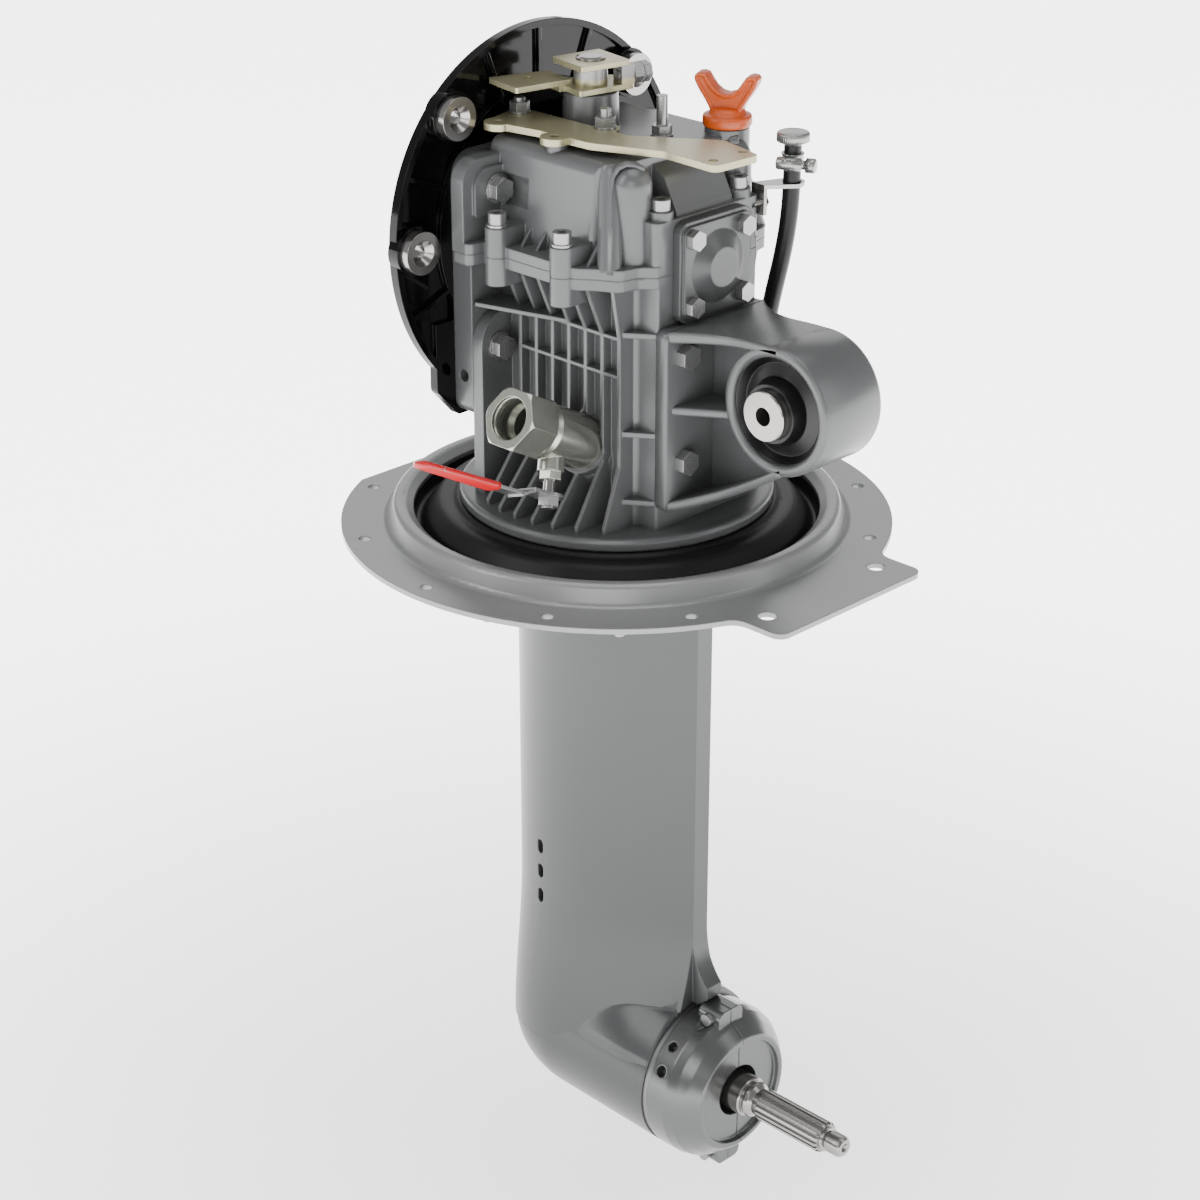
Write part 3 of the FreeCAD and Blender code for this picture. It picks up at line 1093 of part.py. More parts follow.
def make_mount_bracket():
    """Cast bracket: bolted plate, centre web, three cross flanges and the eye for the rubber mount."""
    x0, x1 = BLOCK_X1, BLOCK_X1 + BRACKET_T
    h = BLOCK_HALF
    plate = prism_x([(-h, BRACKET_Z0), (h, BRACKET_Z0), (h, BRACKET_Z1), (-h, BRACKET_Z1)], x0, x1, 3)
    eye = rod(V(EYE_X, -EYE_HALF, EYE_Z), V(0, 1, 0), EYE_R, 2 * EYE_HALF)
    web = prism_y([(x1 - 1, BRACKET_Z0 + 4), (EYE_X - 10, EYE_Z - EYE_R + 8), (EYE_X - 10, EYE_Z + EYE_R - 8),
                   (x1 - 1, BRACKET_Z1 - 4)], -3.2, 3.2)
    top = prism_z([(x1 - 1, -h + 1), (x1 + 14, -h + 6), (x1 + 34, -EYE_HALF), (EYE_X, -EYE_HALF),
                   (EYE_X, EYE_HALF), (x1 + 34, EYE_HALF), (x1 + 14, h - 6), (x1 - 1, h - 1)],
                  BRACKET_Z0 - 10, BRACKET_Z1 + 10)
    upper = prism_y([(x1 - 1, BRACKET_Z1 - 10), (x1 - 1, BRACKET_Z1), (EYE_X, EYE_Z + EYE_R),
                     (EYE_X, EYE_Z + EYE_R - 7), (x1 + 20, BRACKET_Z1 - 9)], -h, h).common(top)
    lower = prism_y([(x1 - 1, BRACKET_Z0), (x1 + 26, BRACKET_Z0 + 10), (EYE_X - 14, EYE_Z - EYE_R + 2),
                     (EYE_X - 14, EYE_Z - EYE_R + 9), (x1 + 24, BRACKET_Z0 + 17), (x1 - 1, BRACKET_Z0 + 7)],
                    -h, h).common(top)
    middle = prism_z([(x1 - 1, -h + 4), (EYE_X - EYE_R + 4, -18), (EYE_X - EYE_R + 4, 18), (x1 - 1, h - 4)],
                     115, 121)
    solid = fuse([plate, eye, web, upper, lower, middle])
    cuts = [rod(V(EYE_X, -EYE_HALF - 1, EYE_Z), V(0, 1, 0), EYE_BORE_R, 2 * EYE_HALF + 2)]
    for y, z in BRACKET_BOLTS:
        cuts += both_sides(rod(V(x0 - 1, y, z), V(1, 0, 0), M10_R, 20))
    return solid.cut(Part.makeCompound(cuts))


def make_bracket_bolts():
    bolts = []
    for y, z in BRACKET_BOLTS:
        bolts += both_sides(hex_bolt(V(BLOCK_X1 + BRACKET_T, y, z), V(1, 0, 0), M10_AF, M10_HEAD_H + 1, M10_R,
                                     BRACKET_T + 16))
    return Part.makeCompound(bolts)


def make_mount_rubber():
    """Bonded rubber ring, dished on both faces round a raised neck."""
    h = EYE_HALF
    profile = [(MOUNT_SLEEVE_R, -h - 5), (MOUNT_SLEEVE_R + 3, -h - 5), (MOUNT_SLEEVE_R + 6, -h + 6),
               (EYE_BORE_R - 5, -h + 9), (EYE_BORE_R, -h + 3), (EYE_BORE_R, h - 3), (EYE_BORE_R - 5, h - 9),
               (MOUNT_SLEEVE_R + 6, h - 6), (MOUNT_SLEEVE_R + 3, h + 5), (MOUNT_SLEEVE_R, h + 5)]
    return turned(profile, V(EYE_X, 0, EYE_Z), V(0, 1, 0))


def make_mount_sleeve():
    m = MOUNT_SLEEVE_HALF
    profile = [(MOUNT_BORE_R, -m), (MOUNT_SLEEVE_R - 0.8, -m), (MOUNT_SLEEVE_R, -m + 0.8),
               (MOUNT_SLEEVE_R, m - 0.8), (MOUNT_SLEEVE_R - 0.8, m), (MOUNT_BORE_R, m)]
    return turned(profile, V(EYE_X, 0, EYE_Z), V(0, 1, 0))


# Ball valve

def stem_axis():
    """The stem points down and a little aft, square to the valve's own axis."""
    axis = valve_axis()
    roll = math.radians(VALVE_ROLL)
    return V(0, -axis.z, axis.y) * math.cos(roll) + V(1, 0, 0) * math.sin(roll)


def ball_centre():
    return valve_foot() + valve_axis() * BALL_AT


def make_valve_body():
    foot, axis = valve_foot(), valve_axis()
    barrel = rod(foot, axis, VALVE_BODY_R, VALVE_LEN - 26)
    neck = Part.makeCone(VALVE_BODY_R + 1.5, VALVE_BODY_R, 4, foot + axis * (VALVE_LEN - 34), axis)
    mouth = hexagon(foot + axis * (VALVE_LEN - 27), axis, VALVE_HEX_AF, 27)
    chamfer = turned([(0, -40), (VALVE_HEX_AF / 2 + 6, -40), (VALVE_HEX_AF / 2 + 6, -4),
                      (VALVE_HEX_AF / 2 + 1, 0),
                      (0, 0)], foot + axis * VALVE_LEN, axis)
    mouth = mouth.common(chamfer)
    bonnet = rod(ball_centre(), stem_axis(), 9.5, VALVE_BODY_R + 8)
    gland = hexagon(ball_centre() + stem_axis() * (VALVE_BODY_R + 8), stem_axis(), 15, 6)
    solid = fuse([barrel, neck, mouth, bonnet, gland])
    cuts = [rod(foot + axis * (VALVE_LEN - 20), axis, VALVE_BORE_R, 21), rod(foot - axis, axis, 12.5, VALVE_LEN),
            Part.makeSphere(BALL_R + GAP, ball_centre()),
            rod(ball_centre(), stem_axis(), STEM_R + FIT, STEM_REACH)]
    return solid.cut(Part.makeCompound(cuts))


def make_valve_nipple():
    """Short threaded nipple between the housing boss and the valve."""
    foot, axis = valve_foot(), valve_axis()
    return rod(foot - axis * 9, axis, 12.45, 8.9).cut(rod(foot - axis * 10, axis, 10.5, 12))


def make_ball():
    ball = Part.makeSphere(BALL_R, ball_centre())
    way = rod(ball_centre() - valve_axis() * 30, valve_axis(), BALL_BORE_R, 60)
    return ball.cut(way)


def make_stem():
    start = ball_centre() + stem_axis() * (BALL_R + 0.1)
    return rod(start, stem_axis(), STEM_R, STEM_REACH - BALL_R + 2)


def handle_frame():
    """Where the lever meets the stem, the way it points, and the way across it."""
    base = ball_centre() + stem_axis() * (STEM_REACH - 8)
    return base, valve_axis(), stem_axis().cross(valve_axis()).normalize()


def strip(base, along, across, normal, length, width, thick):
    corners = [base + across * (-width / 2), base + across * (width / 2),
               base + across * (width / 2) + along * length, base + across * (-width / 2) + along * length]
    return Part.Face(Part.makePolygon(corners + corners[:1])).extrude(normal * thick)


def make_handle():
    """Steel lever strip with a step outwards before the grip."""
    base, along, across = handle_frame()
    out = stem_axis()
    hub = rod(base, out, 10.5, 2.5)
    first = strip(base, along, across, out, 24, 16, 2.5)
    ramp = strip(base + along * 21, (along * 12 + out * 5).normalize(), across, out, 15, 14, 2.5)
    last = strip(base + along * 32 + out * 4.6, along, across, out, HANDLE_LEN - 42, 12, 2.5)
    hole = rod(base - out, out, STEM_R, 10)
    return fuse([hub, first, ramp, last]).cut(hole)


def grip_start():
    base, along, across = handle_frame()
    return base + along * HANDLE_GRIP_FROM + stem_axis() * (4.6 + 1.25)


def make_grip():
    """Dipped plastic sleeve over the lever strip."""
    base, along, across = handle_frame()
    length = HANDLE_LEN - HANDLE_GRIP_FROM
    start = grip_start()
    tube = rod(start, along, GRIP_R + 1.6, length)
    ball_end = Part.makeSphere(GRIP_R + 1.6, start + along * length)
    out = stem_axis()
    core = strip(base + along * 30 + out * 4.6, along, across, out, HANDLE_LEN - 40, 12, 2.5)
    return fuse([tube, ball_end]).cut(core)


def make_handle_nut():
    base, along, across = handle_frame()
    out = stem_axis()
    seat = base + out * 2.5
    return hexagon(seat, out, 14, 6).cut(rod(seat - out, out, STEM_R, 20))


# Shift gear

def make_shift_shaft():
    """Vertical shaft with a cam groove at its foot; the groove rises as the shaft turns."""
    low = FORK_Z - 7.6
    shaft = Part.makeCylinder(SHIFT_R, SHIFT_TOP - 4 - (FORK_Z + 8), V(TOWER_X, 0, FORK_Z + 8))
    drum = Part.makeCylinder(CAM_R, FORK_Z + 9 - low, V(TOWER_X, 0, low))
    cap = turned([(0, -5), (SHIFT_R, -5), (SHIFT_R + 1.5, -2), (SHIFT_R + 1.5, -1), (SHIFT_R - 1, 0), (0, 0)],
                 V(TOWER_X, 0, SHIFT_TOP), V(0, 0, 1))
    half = math.radians(LEVER_SWEEP / 2)
    lean = math.degrees(math.atan(CLUTCH_TRAVEL / 2 / ((CAM_R - 1.1) * math.sin(half))))
    groove = turned([(CAM_R - 3, -2.0), (CAM_R + 8, -2.0), (CAM_R + 8, 2.0), (CAM_R - 3, 2.0)],
                    V(0, 0, 0), V(0, 0, 1))
    groove.rotate(V(0, 0, 0), V(1, 0, 0), -lean)
    groove.rotate(V(0, 0, 0), V(0, 0, 1), -LEVER_SWEEP / 2)
    groove.translate(V(TOWER_X, 0, FORK_Z))
    return fuse([shaft, cap, drum]).cut(groove)


def make_shift_fork():
    """Flat fork: a hub round the cam with a peg in its groove, and two tines in the rod's collar."""
    z0 = FORK_Z - CLUTCH_TRAVEL / 2 - FORK_T / 2
    hub = Part.makeCylinder(CAM_R + 6, FORK_T, V(TOWER_X, 0, z0))
    blade = box(TOWER_X + 4, 7, -11, 11, z0, z0 + FORK_T)
    gap = fuse([Part.makeCylinder(ROD_R + 1.6, 20, V(0, 0, z0 - 5)),
                box(0, 40, -ROD_R - 1.6, ROD_R + 1.6, z0 - 5, z0 + 15)])
    room = Part.makeCylinder(CAM_R + GAP, 20, V(TOWER_X, 0, z0 - 5))
    guide = Part.makeCylinder(3.05, 20, V(TOWER_X + 15, 0, z0 - 5))
    body = fuse([hub, blade]).cut(gap).cut(room).cut(guide)
    peg = rod(V(TOWER_X + CAM_R + 2, 0, z0 + FORK_T / 2), V(-1, 0, 0), 1.5, 4.2)
    return fuse([body, peg])


def lever_point(along, across, z):
    """Point in the lever's own axes, turned with it about the shift shaft."""
    a = math.radians(LEVER_TURN)
    x = along * math.cos(a) - across * math.sin(a)
    return V(TOWER_X + x, along * math.sin(a) + across * math.cos(a), z)


def lever_prism(points, z0, z1, radii=0.0):
    wire = rounded_wire([lever_point(u, v, z0) for u, v in points], radii)
    return Part.Face(wire).extrude(V(0, 0, z1 - z0))


def make_shift_lever():
    """Bent lever: hub under the cap plate, a step, and the arm's end with the cable hole."""
    z = LEVER_Z
    near = lever_prism([(-20, -20), (17, -20), (17, 26), (-10, 26), (-20, 14)], z - LEVER_T, z, 2)
    arm = lever_prism([(-40, -60), (-3, -60), (-3, -14), (-33, -14)], z, z + LEVER_T, 2)
    step = lever_prism([(-30, -24), (-3, -24), (-3, -14), (-30, -14)], z - LEVER_T, z + LEVER_T, 0)
    link = lever_prism([(-30, -24), (-3, -24), (-3, -8), (-20, -8)], z - LEVER_T, z, 0)
    tube = Part.makeCylinder(SHIFT_R + 3, CAP_Z - LEVER_T - z + LEVER_T, V(TOWER_X, 0, z - LEVER_T))
    ear = lever_prism([(6, 15), (17, 15), (17, 26), (6, 26)], z, CAP_Z - LEVER_T - 0.0, 0)
    bore = Part.makeCylinder(SHIFT_R, 60, V(TOWER_X, 0, z - 20))
    hole = Part.makeCylinder(3.2, 30, lever_point(-24, -37, z - 10))
    way = rod(lever_point(11.5, 10, CAP_Z - 12), lever_point(0, 1, 0) - lever_point(0, 0, 0), M10_R - 1, 30)
    return fuse([near, arm, step, link, tube, ear]).cut(Part.makeCompound([bore, hole, way]))


def make_lever_cap():
    plate = lever_prism([(-19, -20), (19, -20), (19, 20), (-19, 20)], CAP_Z - LEVER_T, CAP_Z, 1.5)
    return plate.cut(Part.makeCylinder(SHIFT_R + 1.5, 60, V(TOWER_X, 0, CAP_Z - 20)))


def make_pinch_bolt():
    across = lever_point(0, 1, 0) - lever_point(0, 0, 0)
    seat = lever_point(11.5, 26, CAP_Z - 12)
    head = hexagon(seat + across * 8.5, across, 13, 6)
    nut = hexagon(seat, across, 13, 8)
    return fuse([head, nut, rod(seat - across * 12, across, M10_R - 1.1, 24)])


def make_cable_plate():
    """Flat bent-outline plate for the shift cable, with three round ears."""
    z0, z1 = PLATE_TOP - PLATE_T, PLATE_TOP
    outline = [(-64, -66), (-45, -63), (-17, -58), (28.6, -56.5), (78.5, -36), (127.6, -38.5), (130, 2),
               (89, 13), (33, -25), (-10, -24), (-61.5, -24), (-72, -36)]
    plate = prism_z(outline, z0, z1, [2, 8, 6, 18, 18, 5, 4, 10, 6, 10, 8, 8])
    ears = [Part.makeCylinder(10.5, PLATE_T, V(-56.4, -61, z0)),
            Part.makeCylinder(10.2, PLATE_T, V(-0.7, -60.9, z0)),
            Part.makeCylinder(10, PLATE_T, V(STAY_NUT[0], STAY_NUT[1], z0))]
    holes = [Part.makeCylinder(3.4, 20, V(x, y, z0 - 5)) for x, y in
             ((-56.4, -61), (-0.7, -60.9), (117.5, -29), (117.5, 0))]
    holes += [Part.makeCylinder(M8_R, 20, V(x, y, z0 - 5)) for x, y in (STAY_NUT, STAY_NUT_TIP)]
    return fuse([plate] + ears).cut(Part.makeCompound(holes))


def make_plate_studs():
    """Studs with nuts and washers on the cable plate; the forward one is a short bolt."""
    shapes = []
    z = PLATE_TOP
    low_z = PLATE_TOP - PLATE_T
    for (x, y), low, high in ((STAY_NUT, low_z - 12, 14), (STAY_NUT_TIP, low_z - 0.5, 11)):
        stud = Part.makeCylinder(M8_R, z + high - low, V(x, y, low))
        nut = hexagon(V(x, y, z + 1.6), V(0, 0, 1), 13, 6.5)
        ring = Part.makeCylinder(8, 1.6, V(x, y, z))
        shapes.append(fuse([stud, nut, ring]))
    x, y = STAY_NUT_TIP
    head = hexagon(V(x, y, z - PLATE_T), V(0, 0, -1), 13, 5)
    shapes[1] = fuse([shapes[1], head])
    return Part.makeCompound(shapes)


def make_breather_stud():
    x, y = BREATHER
    return fuse([Part.makeCylinder(M8_R, 34, V(x, y, UPPER_TOP - 5)),
                 hexagon(V(x, y, UPPER_TOP + 1.6), V(0, 0, 1), 13, 6.5),
                 Part.makeCylinder(8, 1.6, V(x, y, UPPER_TOP))])


# Dipstick

def make_dipstick():
    """Orange winged plug with its long rod."""
    z = DIP_TOP
    collar = turned([(0, 0.3), (16, 0.3), (17.5, 1.5), (17.5, 7), (16.5, 8.5), (0, 8.5)],
                    V(DIP_X, DIP_Y, z), V(0, 0, 1))
    plug = Part.makeCylinder(6.2, 11, V(DIP_X, DIP_Y, z - 10.5))
    neck = Part.makeCone(13, 9, 10, V(DIP_X, DIP_Y, z + 8))
    stick = Part.makeCylinder(2.6, DIP_LEN, V(DIP_X, DIP_Y, z - DIP_LEN))
    return fuse([collar, plug, neck, stick])


def make_dipstick_wing():
    """Flat wing handle: narrow at the neck, two horns above a saddle."""
    base = DIP_TOP + 12
    outline = [(-8, 0), (8, 0), (20, 24), (17.5, 29), (12, 28.5), (0, 19),
               (-12, 28.5), (-17.5, 29), (-20, 24)]
    wire = rounded_wire([V(u, -6.5, base + h) for u, h in outline], [2, 2, 3.5, 3, 3, 12, 3, 3, 3.5])
    wing = Part.Face(wire).extrude(V(0, 13, 0))
    wing.rotate(V(0, 0, 0), V(0, 0, 1), 45)
    wing.translate(V(DIP_X, DIP_Y, 0))
    return wing


# Vent hose

def hose_path():
    """Straight runs joined by tangent arcs, as wide as the runs allow."""
    pts = [V(*p) for p in HOSE_ROUTE]
    edges = []
    start = pts[0]
    for i in range(1, len(pts) - 1):
        a, b = pts[i - 1] - pts[i], pts[i + 1] - pts[i]
        turn = math.pi - a.getAngle(b)
        shorter = min(a.Length, b.Length)
        r = 0.45 * shorter / math.tan(turn / 2)
        setback = 0.45 * shorter
        a.normalize()
        b.normalize()
        first, last = pts[i] + a * setback, pts[i] + b * setback
        half = (math.pi - turn) / 2
        middle = pts[i] + (a + b).normalize() * (r / math.sin(half) - r)
        edges.append(Part.makeLine(start, first))
        edges.append(Part.Arc(first, middle, last).toShape())
        print("hose bend radius", round(r, 1))
        start = last
    edges.append(Part.makeLine(start, pts[-1]))
    return Part.Wire(edges)


def make_hose():
    path = hose_path()
    start = V(*HOSE_ROUTE[0])
    section = Part.Wire([Part.makeCircle(HOSE_R, start, V(0, 0, 1))])
    tube = path.makePipeShell([section], True, False)
    return tube


def make_hose_plug():
    top = V(HOSE_X, HOSE_Y, HOSE_ROUTE[0][2])
    return turned([(0, 0), (6, 0), (6, 1), (11.2, 1), (11.2, 6), (10.4, 7), (0, 7)], top, V(0, 0, 1))


def make_hose_clamp():
    """Worm-drive band with its screw housing."""
    z = HOSE_ROUTE[0][2] - 15
    band = turned([(HOSE_R, 0), (HOSE_R + 1.2, 0), (HOSE_R + 1.2, 9), (HOSE_R, 9)],
                  V(HOSE_X, HOSE_Y, z), V(0, 0, 1))
    way = V(0.9, 0.43, 0).normalize()
    side = V(0.43, -0.9, 0).normalize()
    seat = V(HOSE_X, HOSE_Y, z + 4.5) + side * (HOSE_R + 3.6)
    screw = fuse([rod(seat - way * 6, way, 3.2, 16), hexagon(seat + way * 10, way, 7, 6)])
    return fuse([band, screw])


def make_hose_arm():
    """Strap from the starboard side of the block, bent flat to hold the hose."""
    z = HOSE_ARM_Z
    leg = box(80, 92, BLOCK_HALF, BLOCK_HALF + 3, z - 22, z)
    arm = prism_z([(80, BLOCK_HALF), (92, BLOCK_HALF), (HOSE_X + 9, HOSE_Y - 2), (HOSE_X + 6, HOSE_Y + 9),
                   (HOSE_X - 5, HOSE_Y + 9), (HOSE_X - 10, HOSE_Y)], z - 3, z, [0, 0, 6, 6, 6, 6])
    bore = Part.makeCylinder(HOSE_R + GAP, 20, V(HOSE_X, HOSE_Y, z - 10))
    strap = fuse([leg, arm]).cut(bore)
    return strap.cut(rod(V(STRAP_X, BLOCK_HALF - 1, z - 14), V(0, 1, 0), 3.0, 6))


def make_arm_screw():
    return hex_bolt(V(STRAP_X, BLOCK_HALF + 3, HOSE_ARM_Z - 14), V(0, 1, 0), 10, 4, 3.0, 10)


def hose_knee():
    """Where the hose's elbow turns in towards the housing."""
    end, before = V(*HOSE_ROUTE[-1]), V(*HOSE_ROUTE[-2])
    return end + (end - before).normalize() * HOSE_TAIL


def make_hose_barb():
    """Elbow that takes the hose into the boss on the lower housing's side."""
    end, knee = V(*HOSE_ROUTE[-1]), hose_knee()
    tail = rod(end, (knee - end).normalize(), HOSE_R, HOSE_TAIL)
    boss_end = rod(knee, V(0, -1, 0), HOSE_R, knee.y - HOSE_BOSS_Y)
    return fuse([tail, Part.makeSphere(HOSE_R + 0.3, knee), boss_end])


def build():
    crown_gap = crown_pair()[0] + 8
    save("hull_ring", make_hull_ring())
    save("rubber_membrane", make_membrane())
    save("clamp_ring", make_clamp_ring())
    save("clamp_ring_nuts", make_clamp_nuts())
    save("leg_casting", make_leg())
    save("leg_bolts", make_leg_bolts())
    save("bearing_carrier", make_carrier())
    save("propeller_shaft_seal", make_shaft_seal())
    save("anode_port", make_collar_half(-1))
    save("anode_starboard", make_collar_half(1))
    save("anode_screws", make_collar_screws())
    save("propeller_shaft", make_prop_shaft())
    save("propeller_gear", make_prop_gear())
    save("lower_pinion", make_lower_pinion())
    save("vertical_shaft", make_vertical_shaft())
    save("upper_crown_gear", make_crown(True))
    save("lower_crown_gear", make_crown(False))
    save("input_pinion", make_input_pinion())
    save("input_shaft", make_input_shaft())
    save("clutch_sleeve", make_clutch())
    save("clutch_rod", make_clutch_rod())
    save("crown_bearings", Part.makeCompound(
        [bearing(V(0, 0, CROWN_Z + s * crown_gap), V(0, 0, s), CROWN_HUB_R + FIT, CROWN_BEARING_R,
                 CROWN_BEARING_W)
         for s in (1, -1)]))
    save("input_bearing",
         bearing(V(HOUSING_X0 - 4, 0, CROWN_Z), V(1, 0, 0), SHAFT_R + FIT, INPUT_BEARING_R, 13))
    save("input_seal", make_input_seal())
    save("shaft_bearings", Part.makeCompound(
        [bearing(start, way, SHAFT_R + FIT, BEARING_R, BEARING_W) for start, way in
         ((V(0, 0, BASE_TOP + 13 - BEARING_W), V(0, 0, 1)), (V(0, 0, leg_bearing_z()), V(0, 0, 1)),
          (V(GEAR_ROOM_X0 - BEARING_W, 0, CASE_Z), V(1, 0, 0)), (V(CARRIER_X0, 0, CASE_Z), V(1, 0, 0)))]))
    save("lower_housing", make_lower_housing())
    save("upper_housing", make_upper_housing())
    save("housing_screws", make_housing_screws())
    save("lug_bolts", make_lug_bolts())
    save("adapter_plate", make_adapter())
    save("bell_flange", make_bell_flange())
    save("bell_sleeves", make_bell_sleeves())
    save("aft_cover", make_aft_cover())
    save("cover_bolts", make_cover_bolts())
    save("mount_bracket", make_mount_bracket())
    save("bracket_bolts", make_bracket_bolts())
    save("mount_rubber", make_mount_rubber())
    save("mount_sleeve", make_mount_sleeve())
    save("valve_body", make_valve_body())
    save("valve_nipple", make_valve_nipple())
    save("valve_ball", make_ball())
    save("valve_stem", make_stem())
    save("valve_handle", make_handle())
    save("handle_grip", make_grip())
    save("handle_nut", make_handle_nut())
    save("shift_shaft", make_shift_shaft())
    save("shift_lever", make_shift_lever())
    save("lever_cap", make_lever_cap())
    save("pinch_bolt", make_pinch_bolt())
    save("shift_fork", make_shift_fork())
    save("cable_plate", make_cable_plate())
    save("plate_studs", make_plate_studs())
    save("breather_stud", make_breather_stud())
    save("dipstick", fuse([make_dipstick(), make_dipstick_wing()]))
    save("vent_hose", make_hose())
    save("hose_plug", make_hose_plug())
    save("hose_clamp", make_hose_clamp())
    save("hose_strap", Part.makeCompound([make_hose_arm(), make_arm_screw()]))
    save("hose_barb", make_hose_barb())


build()
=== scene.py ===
# %% [markdown]
# # A saildrive, dressed for the studio
#
# The gearbox stands on a round hull ring with a black rubber seal, and a foil-shaped leg hangs below it
# with the propeller shaft pointing aft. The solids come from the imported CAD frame. This script adds the
# camera, the light, the floor and the materials, and makes the forms that are seen close up: the grip,
# the dipstick, the plug and clamp, threads, the mount bracket, corner domes, the leg's blend and the hose.
#
# Lengths are metres. +X points aft, +Y to starboard, +Z up. The origin is the middle of the hull ring.

# %%
import json
import math

import bmesh
import bpy
import numpy as np
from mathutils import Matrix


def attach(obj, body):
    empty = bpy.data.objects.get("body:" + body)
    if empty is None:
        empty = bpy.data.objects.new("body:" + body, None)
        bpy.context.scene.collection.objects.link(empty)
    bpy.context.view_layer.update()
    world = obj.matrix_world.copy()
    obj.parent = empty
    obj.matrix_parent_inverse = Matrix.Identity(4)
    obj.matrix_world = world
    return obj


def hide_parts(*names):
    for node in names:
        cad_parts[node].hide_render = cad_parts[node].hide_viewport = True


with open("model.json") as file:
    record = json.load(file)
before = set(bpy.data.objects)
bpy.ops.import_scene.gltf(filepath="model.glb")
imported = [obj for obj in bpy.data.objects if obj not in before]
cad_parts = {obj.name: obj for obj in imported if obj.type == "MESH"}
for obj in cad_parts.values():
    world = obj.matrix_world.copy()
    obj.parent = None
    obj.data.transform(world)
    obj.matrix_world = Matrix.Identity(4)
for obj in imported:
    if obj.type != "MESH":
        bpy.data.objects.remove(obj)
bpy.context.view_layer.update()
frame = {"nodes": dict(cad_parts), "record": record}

# %% [markdown]
# ## Camera
#
# The photograph looks down by 24.8 degrees from the port quarter, from about 2.1 m away.

# %%
cam_data = bpy.data.cameras.new("photo_camera")
cam_data.lens = 83.54
cam_data.sensor_width = 36.0
camera = bpy.data.objects.new("photo_camera", cam_data)
camera.location = (1.33189, -1.36302, 0.80663)
camera.rotation_euler = (math.radians(90 - 24.759), 0, math.radians(44.709))
bpy.context.scene.collection.objects.link(camera)
bpy.context.scene.camera = camera

# %% [markdown]
# ## Floor and light
#
# The floor lies a little under the gear case. Big soft panels give the long highlights on the ring's bead,
# the leg and the mount's eye. The world's even light fills the recesses between the ribs.

# %%
FLOOR_Z = -0.56
FLOOR_HALF = 30
WORLD_STRENGTH = 0.46


def grid_mesh(name, points, faces, smooth=True):
    """Mesh object from an array of points (n, 3) and a list of faces, with smooth shading if asked."""
    mesh = bpy.data.meshes.new(name)
    corners = [tuple(p) for p in np.asarray(points, float)]
    mesh.from_pydata(corners, [], [tuple(int(i) for i in f) for f in faces])
    mesh.update()
    mesh.polygons.foreach_set("use_smooth", [smooth] * len(mesh.polygons))
    obj = bpy.data.objects.new(name, mesh)
    bpy.context.scene.collection.objects.link(obj)
    return obj


floor_corners = [(x * FLOOR_HALF, y * FLOOR_HALF, FLOOR_Z) for x, y in ((-1, -1), (1, -1), (1, 1), (-1, 1))]
floor = grid_mesh("floor", floor_corners, [(0, 1, 2, 3)], smooth=False)


def area_light(name, place, aim, size, power):
    """Soft rectangular panel of that size in metres and power in watts, turned to face the aim point."""
    data = bpy.data.lights.new(name, "AREA")
    data.shape = "RECTANGLE"
    data.size, data.size_y = size
    data.energy = power
    lamp = bpy.data.objects.new(name, data)
    lamp.location = place
    away = np.asarray(place, float) - np.asarray(aim, float)
    yaw = math.atan2(away[0], -away[1])
    pitch = math.atan2(math.hypot(away[0], away[1]), away[2])
    lamp.rotation_euler = (pitch, 0, yaw)
    bpy.context.scene.collection.objects.link(lamp)
    return lamp


PANELS = {
    "key_panel": ((-0.9, -2.0, 1.7), (0, 0, 0.05), (0.7, 1.9), 26),
    "side_panel": ((2.3, 1.1, 1.2), (0, 0, 0), (0.8, 2.0), 9),
    "top_panel": ((0.1, 0.1, 2.4), (0, 0, 0), (1.6, 1.6), 24),
    "fill_panel": ((1.7, -2.2, 1.3), (0, 0, 0.1), (1.6, 1.2), 22),
    "back_panel": ((-1.9, 1.9, 1.3), (0, 0, 0), (2.6, 1.6), 18),
}
for panel_name, panel in PANELS.items():
    area_light(panel_name, *panel)

world = bpy.data.worlds.new("studio")
world.use_nodes = True
world.node_tree.nodes["Background"].inputs["Color"].default_value = (1, 1, 1, 1)
world.node_tree.nodes["Background"].inputs["Strength"].default_value = WORLD_STRENGTH
bpy.context.scene.world = world

# %% [markdown]
# ## Materials
#
# One shader group does what casting and machining do to every edge: it rounds the edge in the normal and
# adds a fine grain. The grain is read in Object coordinates, so it stays with the part when the part turns.

# %%
PATCH_SCALE = 14.0
COAT_ROUGHNESS = 0.08


